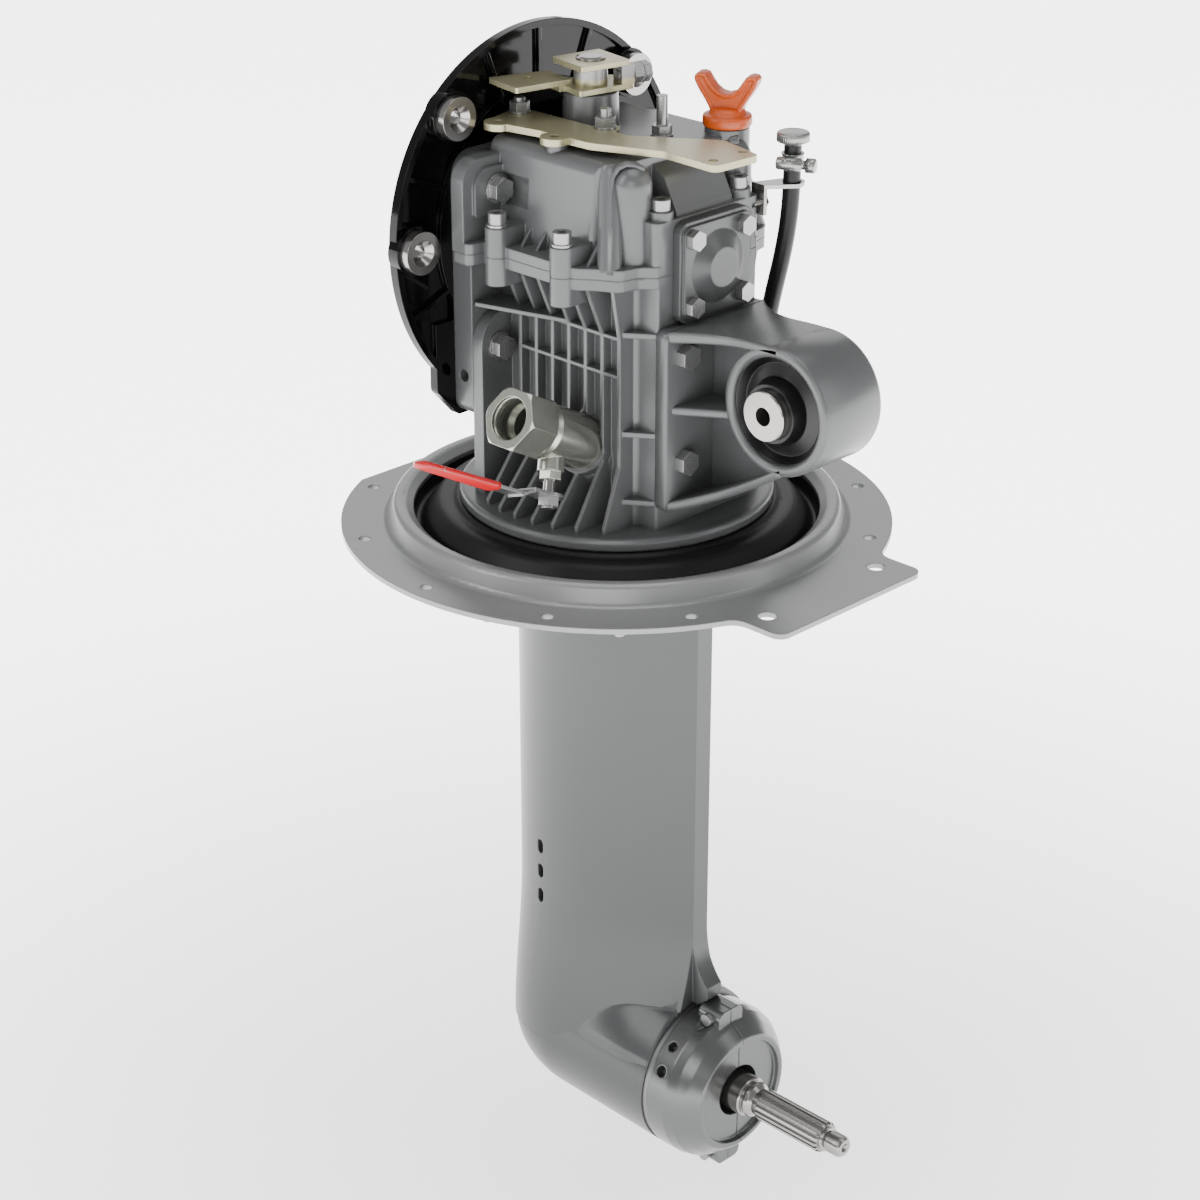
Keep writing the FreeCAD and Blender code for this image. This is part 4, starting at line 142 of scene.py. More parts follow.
def surface_group():
    """Shader group: rounded edges of a given radius, then a bump of a given grain size and height."""
    group = bpy.data.node_groups.new("Edge and grain", "ShaderNodeTree")
    group.interface.new_socket("Edge radius", in_out="INPUT", socket_type="NodeSocketFloat")
    group.interface.new_socket("Grain scale", in_out="INPUT", socket_type="NodeSocketFloat")
    group.interface.new_socket("Grain height", in_out="INPUT", socket_type="NodeSocketFloat")
    group.interface.new_socket("Normal", in_out="OUTPUT", socket_type="NodeSocketVector")
    group.interface.new_socket("Grain", in_out="OUTPUT", socket_type="NodeSocketFloat")
    nodes, links = group.nodes, group.links
    start, end = nodes.new("NodeGroupInput"), nodes.new("NodeGroupOutput")
    edge = nodes.new("ShaderNodeBevel")
    edge.samples = 6
    place = nodes.new("ShaderNodeTexCoord")
    noise = nodes.new("ShaderNodeTexNoise")
    noise.inputs["Detail"].default_value = 3
    bump = nodes.new("ShaderNodeBump")
    bump.inputs["Distance"].default_value = 0.001
    links.new(start.outputs["Edge radius"], edge.inputs["Radius"])
    links.new(place.outputs["Object"], noise.inputs["Vector"])
    links.new(start.outputs["Grain scale"], noise.inputs["Scale"])
    links.new(noise.outputs["Fac"], bump.inputs["Height"])
    links.new(start.outputs["Grain height"], bump.inputs["Strength"])
    links.new(edge.outputs["Normal"], bump.inputs["Normal"])
    links.new(bump.outputs["Normal"], end.inputs["Normal"])
    links.new(noise.outputs["Fac"], end.inputs["Grain"])
    return group


EDGE_AND_GRAIN = surface_group()


def material(name, colour, rough, metallic=0.0, edge=0.0008, scale=900.0, height=0.05, vary=0.06, coat=0.0,
             shine=0.5):
    """Principled material whose colour drifts between c (1 - vary) and c (1 + vary) in large soft patches."""
    mat = bpy.data.materials.new(name)
    mat.use_nodes = True
    nodes, links = mat.node_tree.nodes, mat.node_tree.links
    shader = nodes["Principled BSDF"]
    group = nodes.new("ShaderNodeGroup")
    group.node_tree = EDGE_AND_GRAIN
    group.inputs["Edge radius"].default_value = edge
    group.inputs["Grain scale"].default_value = scale
    group.inputs["Grain height"].default_value = height
    links.new(group.outputs["Normal"], shader.inputs["Normal"])
    place = nodes.new("ShaderNodeTexCoord")
    patch = nodes.new("ShaderNodeTexNoise")
    patch.inputs["Scale"].default_value = PATCH_SCALE
    patch.inputs["Detail"].default_value = 2
    mix = nodes.new("ShaderNodeMix")
    mix.data_type = "RGBA"
    dark = tuple(c * (1 - vary) for c in colour) + (1,)
    light = tuple(min(c * (1 + vary), 1) for c in colour) + (1,)
    mix.inputs["A"].default_value = dark
    mix.inputs["B"].default_value = light
    links.new(place.outputs["Object"], patch.inputs["Vector"])
    links.new(patch.outputs["Fac"], mix.inputs["Factor"])
    links.new(mix.outputs["Result"], shader.inputs["Base Color"])
    shader.inputs["Roughness"].default_value = rough
    shader.inputs["Metallic"].default_value = metallic
    shader.inputs["Specular IOR Level"].default_value = shine
    shader.inputs["Coat Weight"].default_value = coat
    shader.inputs["Coat Roughness"].default_value = COAT_ROUGHNESS
    return mat


# Name, colour, roughness, metallic part, and what differs from the usual edge and grain
SURFACES = [
    ("ring_paint", (0.23, 0.233, 0.235), 0.32, 0.3, dict(edge=0.0012, scale=600, height=0.02)),
    ("clamp_metal", (0.2, 0.2, 0.205), 0.38, 0.8, dict()),
    ("membrane_rubber", (0.005, 0.005, 0.0052), 0.45, 0.0, dict(edge=0.0015, shine=0.25)),
    ("grey_paint", (0.088, 0.091, 0.0925), 0.3, 0.2, dict(edge=0.0016, scale=700, height=0.03)),
    ("black_paint", (0.0015, 0.0015, 0.0018), 0.1, 0.0, dict(edge=0.0008, height=0.01, shine=0.22)),
    ("anode_metal", (0.125, 0.128, 0.128), 0.26, 0.75, dict(edge=0.0018, height=0.03)),
    ("zinc_fasteners", (0.26, 0.265, 0.26), 0.27, 0.75, dict(edge=0.0006)),
    ("passivated_steel", (0.36, 0.335, 0.21), 0.3, 0.6, dict(edge=0.0006)),
    ("bright_steel", (0.30, 0.29, 0.28), 0.2, 0.95, dict(edge=0.0005)),
    ("carrier_metal", (0.18, 0.182, 0.186), 0.36, 0.7, dict()),
    ("gear_steel", (0.38, 0.38, 0.39), 0.3, 0.95, dict(edge=0.0004)),
    ("seal_rubber", (0.01, 0.01, 0.01), 0.5, 0.0, dict()),
    ("mount_rubber", (0.003, 0.003, 0.003), 0.3, 0.0, dict(edge=0.0012, shine=0.35)),
    ("valve_brass", (0.38, 0.385, 0.34), 0.24, 0.85, dict(edge=0.0008, height=0.02)),
    ("ball_chrome", (0.65, 0.65, 0.65), 0.08, 1.0, dict()),
    ("handle_steel", (0.4, 0.4, 0.4), 0.28, 0.95, dict(edge=0.0004)),
    ("red_plastic", (0.42, 0.004, 0.008), 0.32, 0.0, dict(edge=0.0015, height=0.02, coat=0.1)),
    ("orange_plastic", (0.46, 0.062, 0.002), 0.38, 0.0, dict(edge=0.0012, height=0.02)),
    ("hose_rubber", (0.003, 0.003, 0.003), 0.4, 0.0, dict(height=0.03, shine=0.3)),
    ("black_plastic", (0.02, 0.02, 0.02), 0.35, 0.0, dict()),
    ("clip_steel", (0.25, 0.255, 0.245), 0.26, 0.8, dict(edge=0.0004)),
]
MATERIALS = {name: material(name, colour, rough, metallic, **more)
             for name, colour, rough, metallic, more in SURFACES}
HUB_LOW, HUB_HIGH, HUB_COLOUR = 0.3226, 0.3319, (0.26, 0.26, 0.255)


def banded(mat, low, high, colour):
    """Between the heights low and high in Object coordinates the material takes another colour."""
    nodes, links = mat.node_tree.nodes, mat.node_tree.links
    base = nodes["Principled BSDF"].inputs["Base Color"]
    painted = base.links[0].from_socket
    place, split = nodes.new("ShaderNodeTexCoord"), nodes.new("ShaderNodeSeparateXYZ")
    above, below, both = (nodes.new("ShaderNodeMath") for _ in range(3))
    above.operation, below.operation, both.operation = "GREATER_THAN", "LESS_THAN", "MULTIPLY"
    above.inputs[1].default_value, below.inputs[1].default_value = low, high
    mix = nodes.new("ShaderNodeMix")
    mix.data_type = "RGBA"
    mix.inputs["B"].default_value = (*colour, 1)
    links.new(place.outputs["Object"], split.inputs["Vector"])
    links.new(split.outputs["Z"], above.inputs[0])
    links.new(split.outputs["Z"], below.inputs[0])
    links.new(above.outputs["Value"], both.inputs[0])
    links.new(below.outputs["Value"], both.inputs[1])
    links.new(both.outputs["Value"], mix.inputs["Factor"])
    links.new(painted, mix.inputs["A"])
    links.new(mix.outputs["Result"], base)


# The lever's hub stays silver between its two yellow plates.
banded(MATERIALS["passivated_steel"], HUB_LOW, HUB_HIGH, HUB_COLOUR)

for row in frame["record"]["subparts"]:
    piece = frame["nodes"][row["node"]]
    piece.data.materials.clear()
    piece.data.materials.append(MATERIALS[row["material_slot"]])

frame["nodes"]["pinch_bolt"].data.materials[0] = MATERIALS["zinc_fasteners"]

# The leg and the aft cover take a darker copy of the grey paint: painted shade that holds down the bright
# floor's reflection on them.
shaded_grey_paint = material("shaded_grey_paint", (0.054, 0.056, 0.057), 0.3, 0.2, edge=0.0016, scale=700, height=0.03)
for name in ("leg_casting", "aft_cover"):
    frame["nodes"][name].data.materials[0] = shaded_grey_paint

floor_mat = bpy.data.materials.new("pale_floor")
floor_mat.use_nodes = True
floor_shader = floor_mat.node_tree.nodes["Principled BSDF"]
floor_shader.inputs["Base Color"].default_value = (0.86, 0.86, 0.86, 1)
floor_shader.inputs["Roughness"].default_value = 0.9
floor_shader.inputs["Emission Color"].default_value = (1, 1, 1, 1)


def floor_glow_and_shade_pool(mat, near, far, start, end):
    """Glowing floor with painted shade: emission rises from near to far as t t (3 - 2 t), from distance start
    to distance end, so a dim pool of painted shade lies round the object's base.
    """
    nodes, links = mat.node_tree.nodes, mat.node_tree.links
    place = nodes.new("ShaderNodeTexCoord")
    length = nodes.new("ShaderNodeVectorMath")
    length.operation = "LENGTH"
    spread = nodes.new("ShaderNodeMapRange")
    spread.interpolation_type = "SMOOTHSTEP"
    for socket, value in (("From Min", start), ("From Max", end), ("To Min", near), ("To Max", far)):
        spread.inputs[socket].default_value = value
    links.new(place.outputs["Object"], length.inputs[0])
    links.new(length.outputs["Value"], spread.inputs["Value"])
    links.new(spread.outputs["Result"], nodes["Principled BSDF"].inputs["Emission Strength"])


# The floor glows as painted light, and is dimmer near the object as a pool of painted shade round its base.
floor_glow_and_shade_pool(floor_mat, near=1.3, far=4.6, start=0.3, end=1.5)
floor.data.materials.append(floor_mat)

# %% [markdown]
# ## Small parts
#
# The dipped grip, the winged dipstick, the plug of the vent hose and its clamp are seen close up, so they
# are made here with their real outlines. Each takes the place of the plain solid in the frame.

# %%
MM = 0.001
RIPPLE_FROM = 0.009
VALVE_FOOT = np.array([30.0, -66.0, 82.0]) * MM
VALVE_TILT = math.radians(28.0)
VALVE_ROLL = math.radians(20.0)
VALVE_AXIS = np.array([0, -math.cos(VALVE_TILT), math.sin(VALVE_TILT)])
STEM_AXIS = (np.array([0, -math.sin(VALVE_TILT), -math.cos(VALVE_TILT)]) * math.cos(VALVE_ROLL)
             + np.array([1, 0, 0]) * math.sin(VALVE_ROLL))
ACROSS_AXIS = np.cross(STEM_AXIS, VALVE_AXIS)
STEM_ALONG, STEM_OUT = 32, 44
HANDLE_BASE = VALVE_FOOT + VALVE_AXIS * STEM_ALONG * MM + STEM_AXIS * STEM_OUT * MM
GRIP_START, GRIP_END, GRIP_RINGS, GRIP_LIFT = 56, 138, 26, 5.85
GRIP_POWER = 0.55


def scaled(pairs):
    """Pairs in millimetres as metres."""
    return [(a * MM, b * MM) for a, b in pairs]


def loft_rings(name, rings, closed=False):
    """Tube mesh through rings (k, n, 3): quads join ring i to ring i + 1, fans close the two ends.

    A closed profile joins its last ring to its first instead.
    """
    rings = np.asarray(rings, float)
    k, n, _ = rings.shape
    points = list(rings.reshape(-1, 3))
    faces = [(i * n + j, i * n + (j + 1) % n, (i + 1) * n + (j + 1) % n, (i + 1) * n + j)
             for i in range(k - 1) for j in range(n)]
    if closed:
        last = (k - 1) * n
        faces += [(last + j, last + (j + 1) % n, (j + 1) % n, j) for j in range(n)]
    else:
        for ring, base, turn in ((rings[0], 0, -1), (rings[-1], (k - 1) * n, 1)):
            points.append(ring.mean(0))
            mid = len(points) - 1
            faces += [(mid, base + j, base + (j + 1) % n)[::turn] for j in range(n)]
    return grid_mesh(name, points, faces)


def revolve(name, profile, centre, axis=(0, 0, 1), segments=72, ripple=0.0, ripples=0, closed=False):
    """Turned form: ring i has radius r_i at height h_i along the axis, in millimetres.

    Radii over RIPPLE_FROM metres are r_i (1 + ripple cos(ripples t)), which knurls a rim but not its stem.
    """
    axis = np.asarray(axis, float) / np.linalg.norm(axis)
    side = np.cross(axis, (1, 0, 0) if abs(axis[0]) < 0.9 else (0, 1, 0))
    side /= np.linalg.norm(side)
    third = np.cross(axis, side)
    t = np.linspace(0, 2 * math.pi, segments, endpoint=False)
    circle = np.cos(t)[:, None] * side + np.sin(t)[:, None] * third
    wave = 1 + ripple * np.cos(ripples * t)[:, None]
    rings = [np.asarray(centre) + axis * h + circle * r * (wave if r > RIPPLE_FROM else 1)
             for r, h in scaled(profile)]
    return loft_rings(name, rings, closed)


def dress(obj, body, node, slot):
    """Give a finished piece its body, the plain solid it stands for and its material."""
    obj.data.materials.append(MATERIALS[slot])
    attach(obj, body)
    if node:
        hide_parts(node)
    return obj


def signed_power(values, power):
    """Sign times |value| ** power, which squares a circle's coordinates off."""
    return np.sign(values) * np.abs(values) ** power


def grip_piece():
    """Flat dipped grip: superellipses that narrow towards the tip, whose last 7 % follow a quarter circle."""
    start, end = GRIP_START * MM, GRIP_END * MM
    t = np.linspace(0, 2 * math.pi, 40, endpoint=False)
    flat, tall = signed_power(np.cos(t), GRIP_POWER), signed_power(np.sin(t), GRIP_POWER)
    rings = []
    for i in range(GRIP_RINGS):
        u = i / (GRIP_RINGS - 1)
        cap = math.sqrt(max(1 - max((u - 0.93) / 0.07, 0) ** 2, 0.0004)) * min(1, 0.55 + u * 18)
        half_w, half_t = (7.6 - 2.2 * u) * cap * MM, (2.9 - 0.3 * u) * cap * MM
        middle = HANDLE_BASE + VALVE_AXIS * (start + (end - start) * u) + STEM_AXIS * GRIP_LIFT * MM
        rings.append(middle + np.outer(flat * half_w, ACROSS_AXIS) + np.outer(tall * half_t, STEM_AXIS))
    return loft_rings("dipped_grip", rings)


dress(grip_piece(), "valve", "handle_grip", "red_plastic")

# %%
DIP_PLACE = np.array([52.0, 56.5, 292.0]) * MM
WING_TURN = math.radians(25.0)
WING_HALF_T = 6.0
WING_HALF = [(9.0, 4), (9.8, 8), (12.0, 14), (15.6, 20), (19.6, 26), (22.4, 31.5), (22.8, 34.5), (21.4, 36.6),
             (17.6, 37.2), (14.6, 36.2), (12.2, 32.5), (9.0, 27.8), (4.6, 24.4)]
WING_SADDLE = (0, 23.2)
DIP_PROFILE = [(0.4, -160), (2.6, -159), (2.6, -10.5), (6.2, -10.4), (6.2, 0.2), (15.4, 0.3), (16.9, 0.8),
               (17.5, 2.0), (17.5, 6.6), (17.0, 8.0), (15.6, 8.6), (14.2, 8.8), (13.4, 9.4), (12.4, 11.4),
               (10.8, 12.8), (9.0, 13.4), (0.4, 13.6)]


def wing_outline():
    """Outline of the wing handle, as (across, up): neck, horn and saddle, then the same mirrored."""
    right = np.array(WING_HALF)
    left = right[::-1] * (-1, 1)
    return np.vstack([right, [WING_SADDLE], left]) * MM


def winged_dipstick():
    """Collar, neck and rod turned round the stick's axis, with the flat wing handle set across them."""
    outline = wing_outline()
    along = np.array([math.cos(WING_TURN), math.sin(WING_TURN), 0])
    across = np.array([-along[1], along[0], 0])
    up = np.array([0, 0, 1.0])
    half_t = WING_HALF_T * MM
    mesh = bmesh.new()
    ring = [mesh.verts.new(DIP_PLACE + along * u + up * h - across * half_t) for u, h in outline]
    face = mesh.faces.new(ring)
    grown = bmesh.ops.extrude_face_region(mesh, geom=[face])
    moved = [v for v in grown["geom"] if isinstance(v, bmesh.types.BMVert)]
    bmesh.ops.translate(mesh, verts=moved, vec=across * 2 * half_t)
    mesh.normal_update()
    bmesh.ops.recalc_face_normals(mesh, faces=mesh.faces[:])
    sides = [f for f in mesh.faces if abs(f.normal.dot(across)) > 0.9]
    for side in sides:
        bmesh.ops.inset_region(mesh, faces=[side], thickness=2.4 * MM, depth=0)
        bmesh.ops.inset_region(mesh, faces=[side], thickness=0.9 * MM, depth=-1.3 * MM)
    data = bpy.data.meshes.new("dipstick_wing")
    mesh.to_mesh(data)
    mesh.free()
    wing = bpy.data.objects.new("dipstick_wing", data)
    bpy.context.scene.collection.objects.link(wing)
    bevel = wing.modifiers.new("soft edges", "BEVEL")
    bevel.width = 1.3 * MM
    bevel.segments = 3
    bevel.limit_method = "ANGLE"
    bevel.angle_limit = math.radians(40)
    data.polygons.foreach_set("use_smooth", [True] * len(data.polygons))
    return wing, revolve("dipstick_body_turned", DIP_PROFILE, DIP_PLACE)


dip_wing, dip_body = winged_dipstick()
dress(dip_wing, "dipstick_body", None, "orange_plastic")
dress(dip_body, "dipstick_body", "dipstick", "orange_plastic")

# %%
PLUG_PLACE = np.array([99.0, 73.0, 284.0]) * MM
PLUG_PROFILE = [(0.4, 0), (6.2, 0.1), (6.2, 2.4), (10.6, 2.5), (11.5, 3.2), (11.5, 8.2), (10.7, 9.3),
                (9.6, 9.6), (0.4, 9.7)]
CLAMP_DROP, WORM_OUT = 10.5, 11.4
CLAMP_WAY = np.array([0.9, 0.43, 0]) / math.hypot(0.9, 0.43)
CLAMP_SIDE = np.array([0.43, -0.9, 0]) / math.hypot(0.9, 0.43)
BAND_PROFILE = [(6.3, -5), (8.0, -5), (8.2, -4.4), (7.7, -3.8), (7.7, 3.8), (8.2, 4.4), (8.0, 5), (6.3, 5)]
WORM_PROFILE = [(0.4, -8), (4.2, -8), (4.6, -7.4), (4.6, 9), (3.2, 9.4), (3.2, 13), (5.2, 13.1), (5.2, 19),
                (4.4, 19.8), (0.4, 19.9)]
BRIDGE_PROFILE = [(0.4, -4), (4.4, -4), (4.4, 3.4), (0.4, 3.5)]

plug = revolve("vent_plug", PLUG_PROFILE, PLUG_PLACE, segments=180, ripple=0.012, ripples=45)
dress(plug, "housing", "hose_plug", "clip_steel")


def clamp_piece():
    """Worm-drive clamp: a band with raised lips, the worm's housing with its long screw, and their bridge."""
    middle = PLUG_PLACE - (0, 0, CLAMP_DROP * MM)
    seat = middle + CLAMP_SIDE * WORM_OUT * MM
    band = revolve("clamp_band", BAND_PROFILE, middle)
    worm = revolve("clamp_worm", WORM_PROFILE, seat, CLAMP_WAY, segments=48)
    bridge = revolve("clamp_bridge", BRIDGE_PROFILE, seat, -CLAMP_SIDE, segments=24)
    return band, worm, bridge


for i, clamp_part in enumerate(clamp_piece()):
    dress(clamp_part, "housing", "hose_clamp" if i == 0 else None, "clip_steel")

# %% [markdown]
# ## Threads
#
# The valve's mouth has a pipe thread and the propeller shaft ends in a fine one. Each is a thin sleeve whose
# profile zigzags between the thread's root and its crest.

# %%
MOUTH_START = VALVE_FOOT + VALVE_AXIS * 64 * MM
SHAFT_START = np.array([230.0, 0, -449.2]) * MM
ROOT_SHARE = 0.18


def thread_sleeve(name, start, axis, wall_r, crest_r, pitch, length):
    """Closed profile: a smooth side at wall_r and a zigzag side that reaches crest_r once each pitch.

    The thread's root stands ROOT_SHARE of the way from the wall to the crest.
    """
    turns = int(length / pitch)
    root = wall_r + (crest_r - wall_r) * ROOT_SHARE
    zigzag = [(root if k % 2 == 0 else crest_r, k * pitch / 2) for k in range(2 * turns + 1)]
    profile = [(wall_r, 0)] + zigzag + [(wall_r, turns * pitch)]
    return revolve(name, profile, start, axis, 96, closed=True)


mouth_thread = thread_sleeve("mouth_thread", MOUTH_START, VALVE_AXIS, 15.5, 14.5, 2.3, 14)
dress(mouth_thread, "housing", None, "valve_brass")
shaft_thread = thread_sleeve("shaft_thread", SHAFT_START, (1, 0, 0), 7.9, 8.6, 1.5, 11)
dress(shaft_thread, "propeller_shaft_body", None, "bright_steel")

# %% [markdown]
# ## Mount bracket
#
# The bracket is one casting: a bolted plate, two curved flanges that narrow on to the eye, a web and a shelf.
# Its flanges sweep smoothly, so they are lofted through rounded sections.

# %%
PLATE_X, PLATE_T, PLATE_HALF = 88.0, 10.0, 52.0
PLATE_Z0, PLATE_Z1 = 43.0, 176.5
EYE_X, EYE_Z, EYE_R, EYE_HALF, EYE_BORE = 177.2, 134.1, 46.1, 29.4, 38.05
FLANGE_X0 = PLATE_X + PLATE_T - 2
TOP_Z0, LOW_Z0, LOW_Z1, LOW_POWER = 172.4, 47.0, EYE_Z - EYE_R + 4.0, 1.3
WALL_R = 42.0
WEB_Z0, WEB_Z1, WEB_TURN_Z = 48, 173, 92


def rounded_section(half_w, half_t, corner, steps=6):
    """Rounded rectangle as (across, up) points, with a quarter circle of radius corner at each corner."""
    corner = min(corner, half_w * 0.98, half_t * 0.98)
    points = []
    for k, (sy, sz) in enumerate(((1, 1), (-1, 1), (-1, -1), (1, -1))):
        for i in range(steps + 1):
            a = math.radians(90 * (k + i / steps))
            across = sy * (half_w - corner) + corner * math.cos(a)
            points.append((across, sz * (half_t - corner) + corner * math.sin(a)))
    return np.array(points)


def flange(name, line, width, thick, corner):
    """Loft along x: line(u) gives (x, z), width(u) and thick(u) the half sizes of the rounded section."""
    rings = []
    for u in np.linspace(0, 1, 28):
        (x, z), section = line(u), rounded_section(width(u), thick(u), corner)
        rings.append([(x, y, z + h) for y, h in section])
    return loft_rings(name, np.array(rings) * MM)


def ease(u):
    """Smooth step from 0 to 1: u u (3 - 2 u)."""
    return u * u * (3 - 2 * u)


def narrow(u):
    """Half width of a flange: eye + (plate - eye) (1 - u / 0.62) ** 2.1, then the eye's."""
    return EYE_HALF + (PLATE_HALF - 1 - EYE_HALF) * (1 - min(u / 0.62, 1)) ** 2.1


def web_end(z):
    """Where the web ends at height z: on the low flange's line, and above it inside the eye's wall."""
    if z < WEB_TURN_Z:
        return FLANGE_X0 + (EYE_X + 6 - FLANGE_X0) * ((z - LOW_Z0) / (LOW_Z1 - LOW_Z0)) ** (1 / LOW_POWER)
    return EYE_X - math.sqrt(max(WALL_R ** 2 - (z - EYE_Z) ** 2, 0))


def bracket_pieces():
    """The plate, the eye, both flanges, the web and the shelf."""
    plate_rings = []
    half_z = (PLATE_Z1 - PLATE_Z0) / 2
    for depth, inset in ((0, 0), (PLATE_T - 1.6, 0), (PLATE_T - 0.5, 0.5), (PLATE_T, 1.6)):
        section = rounded_section(PLATE_HALF - inset, half_z - inset, 6)
        plate_rings.append([(PLATE_X + depth, y, PLATE_Z0 + half_z + h) for y, h in section])
    plate = loft_rings("bracket_plate", np.array(plate_rings) * MM)
    e, r, b = EYE_HALF, EYE_R, EYE_BORE
    wall = [(b, -e + 2), (b + 1.2, -e + 0.6), (b + 2.4, -e), (r - 2.6, -e), (r - 0.8, -e + 0.8),
            (r, -e + 2.8), (r, e - 2.8), (r - 0.8, e - 0.8), (r - 2.6, e), (b + 2.4, e), (b + 1.2, e - 0.6),
            (b, e - 2)]
    eye = revolve("bracket_eye", wall, np.array([EYE_X, 0, EYE_Z]) * MM, (0, 1, 0), 160, closed=True)
    x0 = FLANGE_X0
    top = flange("bracket_top", lambda u: (x0 + (EYE_X - x0) * u, TOP_Z0 + 4.0 * ease(u)),
                 narrow, lambda u: 4.1 - 0.7 * u, 2.2)
    low = flange("bracket_low",
                 lambda u: (x0 + (EYE_X + 6 - x0) * u, LOW_Z0 + (LOW_Z1 - LOW_Z0) * u ** LOW_POWER),
                 narrow, lambda u: 3.8, 2.2)
    web_rings = []
    for z in np.linspace(WEB_Z0, WEB_Z1, 40):
        half = (min(web_end(z), EYE_X) - x0) / 2
        section = rounded_section(max(half, 0.6), 3.2, 1.5)
        web_rings.append([(x0 + half + along, across, z) for along, across in section])
    web = loft_rings("bracket_web", np.array(web_rings) * MM)
    shelf = flange("bracket_shelf", lambda u: (x0 + (EYE_X - EYE_R + 5 - x0) * u, 118.0),
                   lambda u: 47 - 27 * u, lambda u: 3.0, 1.8)
    return [plate, eye, top, low, web, shelf]


for i, bracket_part in enumerate(bracket_pieces()):
    dress(bracket_part, "housing", "mount_bracket" if i == 0 else None, "grey_paint")

# %% [markdown]
# ## Corner domes
#
# Where the gearbox's side wall meets the lower block, the casting swells into a round dome. An arched rib
# runs over it.

# %%
DOME_X, DOME_Y, DOME_R, DOME_TOP, DOME_FOOT = 62.5, 50.0, 14.0, 287.0, 212.0
RIB_ROUTE = [(68.0, -77.0, 217), (61.2, -69.8, 249.5), (57.2, -65.4, 269), (56.2, -62.6, 280),
             (58.0, -59.0, 286), (61.2, -54.4, 288.4), (65.0, -49.5, 287.6), (68.6, -45.0, 284)]
RIB_OUT = np.array([0.75, -0.66, 0])


def corner_dome(side):
    """Round column with a flared foot and a domed head."""
    profile = [(DOME_R + 6, 0), (DOME_R + 3.2, 1.2), (DOME_R + 1.4, 3.4), (DOME_R + 0.9, 7)]
    straight = DOME_TOP - DOME_FOOT - DOME_R
    profile += [(DOME_R + 0.9 - 0.9 * t, 7 + (straight - 7) * t) for t in (0.25, 0.5, 0.75, 1.0)]
    profile += [(DOME_R * math.cos(a), straight + DOME_R * math.sin(a)) for a in np.linspace(0.15, 1.53, 12)]
    return revolve(f"corner_dome_{side}", profile, np.array([DOME_X, DOME_Y * side, DOME_FOOT]) * MM)


def arched_rib(side):
    """Rib of rounded section that climbs the wall and bends over the dome. RIB_ROUTE is the port side's."""
    rings = []
    section = rounded_section(1.9, 3.4, 1.7)
    route = np.array(RIB_ROUTE, float)
    for i, place in enumerate(route):
        a, b = route[max(i - 1, 0)], route[min(i + 1, len(route) - 1)]
        way = (b - a) / np.linalg.norm(b - a)
        across = np.cross(way, RIB_OUT)
        across /= np.linalg.norm(across)
        normal = np.cross(across, way)
        ring = place + section[:, :1] * across + section[:, 1:] * normal
        rings.append(ring * (1, -side, 1) * MM)
    return loft_rings(f"arched_rib_{side}", rings)


for side in (-1, 1):
    dress(corner_dome(side), "housing", None, "grey_paint")
    dress(arched_rib(side), "housing", None, "grey_paint")

# %% [markdown]
# ## Leg blend
#
# The trailing half of the leg swells on to the gear case. A thin skin fills the crease between the two with a
# soft fillet: its half width is the smooth maximum of the foil's and the gear case's.

# %%
LEG_NOSE, LEG_DEEPEST, LEG_TAIL, LEG_STRAIGHT, CASE_Z = -92.0, -20.0, 91.0, -318.0, -449.2
LEG_HALF, TAIL_HALF, CASE_R, CASE_WIDEN = 47, 8, 61, 2
BLEND_LOW, BLEND_HIGH, BLEND_K, UNDER = -438, -352, 36, 0.4


def foil_half(x, z):
    """Half width of the foil, which swells with s = t t (3 - 2 t) from the straight leg to the case."""
    t = np.clip((z - LEG_STRAIGHT) / (CASE_Z - LEG_STRAIGHT), 0, 1)
    s = t * t * (3 - 2 * t)
    nose, tail = LEG_NOSE - 1.5 * s, LEG_TAIL + 2 * s
    half, end = LEG_HALF + 13.5 * s, TAIL_HALF + 26 * s
    fore = half * np.sqrt(np.clip(1 - ((LEG_DEEPEST - x) / (LEG_DEEPEST - nose)) ** 2, 0, 1))
    run = np.clip((x - tail) / (LEG_DEEPEST - tail), 0, 1)
    return np.where(x < LEG_DEEPEST, fore, half - (half - end) * (1 - run) ** 1.8)


def case_half(x, z):
    """Half width of the gear case: the circle of its radius, carried on downwards outside of it."""
    radius = CASE_R + CASE_WIDEN * np.clip((x + 14) / 104, 0, 1)
    rise = np.abs(z - CASE_Z)
    return np.sqrt(np.clip(radius ** 2 - rise ** 2, 0, None)) - np.clip(rise - radius, 0, None)


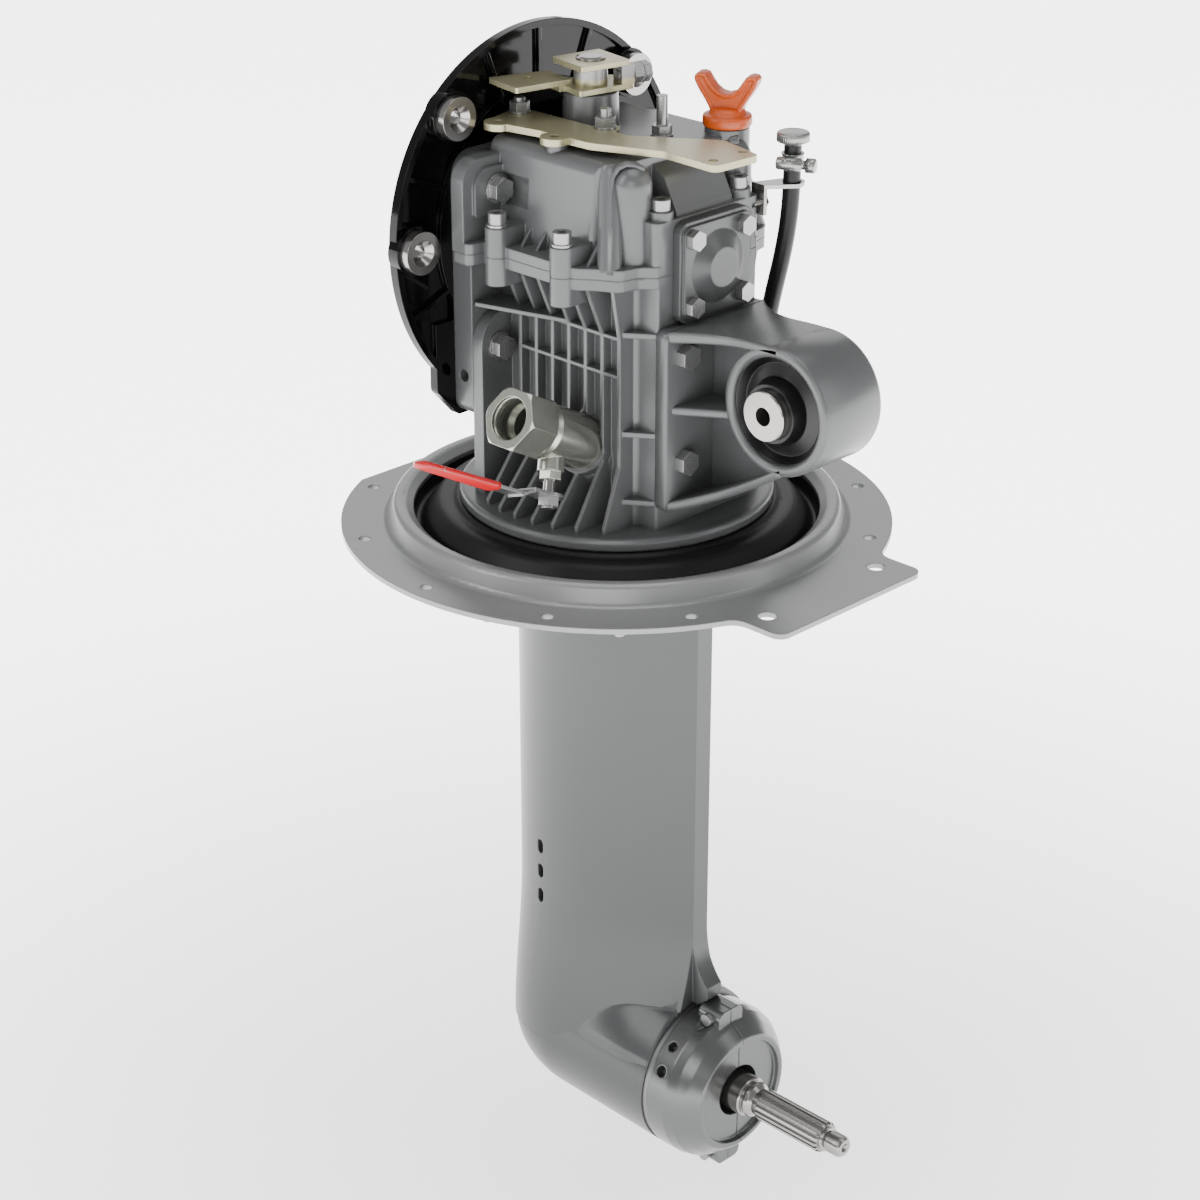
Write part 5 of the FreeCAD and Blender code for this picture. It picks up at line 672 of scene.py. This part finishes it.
def leg_blend(side):
    """Grid over (x, z): max(a, b) + k h h / 4 with h = max(k - |a - b|, 0) / k, k growing aft and upwards.

    The skin lies UNDER mm below both forms where it doesn't blend them, and its last column turns inwards.
    """
    xs, zs = np.append(np.linspace(2, 89.6, 60), 89.7), np.linspace(BLEND_LOW, BLEND_HIGH, 80)
    x, z = np.meshgrid(xs, zs, indexing="ij")
    a, b = foil_half(x, z), case_half(x, z)
    k = BLEND_K * ease(np.clip((x - 2) / 66, 0, 1)) * ease(np.clip((z - BLEND_LOW) / 22, 0, 1)) + 1e-6
    h = np.clip(k - np.abs(a - b), 0, None) / k
    y = np.maximum(a, b) + k * h * h / 4 - UNDER
    y[-1] = np.maximum(a, b)[-1] - 3
    points = np.stack([x, y * side, z], -1).reshape(-1, 3) * MM
    rows, cols = x.shape
    faces = [(i * cols + j, (i + 1) * cols + j, (i + 1) * cols + j + 1, i * cols + j + 1)[::side]
             for i in range(rows - 1) for j in range(cols - 1)]
    return grid_mesh(f"leg_blend_{side}", points, faces)


for side in (-1, 1):
    blend = dress(leg_blend(side), "housing", None, "grey_paint")
    # The blend takes the leg's painted-shade copy of the grey paint.
    blend.data.materials[0] = shaded_grey_paint

# %% [markdown]
# ## Vent hose
#
# A short rubber hose hangs from its plug, passes through a strap and bends in to an elbow on the housing.

# %%
HOSE_POINTS = [(0.099, 0.073, 0.284), (0.099, 0.073, 0.256), (0.0975, 0.0725, 0.229), (0.094, 0.0705, 0.202),
               (0.089, 0.068, 0.176), (0.085, 0.0665, 0.152), (0.081, 0.066, 0.133)]
HOSE_DIAMETER = 0.0125


def hose_curve():
    """Smooth curve through the hose's route, with a round bevel of the hose's radius."""
    curve = bpy.data.curves.new("vent_hose_run", "CURVE")
    curve.dimensions = "3D"
    spline = curve.splines.new("NURBS")
    spline.points.add(len(HOSE_POINTS) - 1)
    for point, place in zip(spline.points, HOSE_POINTS):
        point.co = (*place, 1)
    spline.order_u = 3
    spline.use_endpoint_u = True
    spline.resolution_u = 16
    curve.bevel_depth = HOSE_DIAMETER / 2
    curve.bevel_resolution = 8
    curve.use_fill_caps = True
    obj = bpy.data.objects.new("vent_hose_run", curve)
    bpy.context.scene.collection.objects.link(obj)
    curve.materials.append(MATERIALS["hose_rubber"])
    return obj


hose = hose_curve()
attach(hose, "housing")
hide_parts("vent_hose")
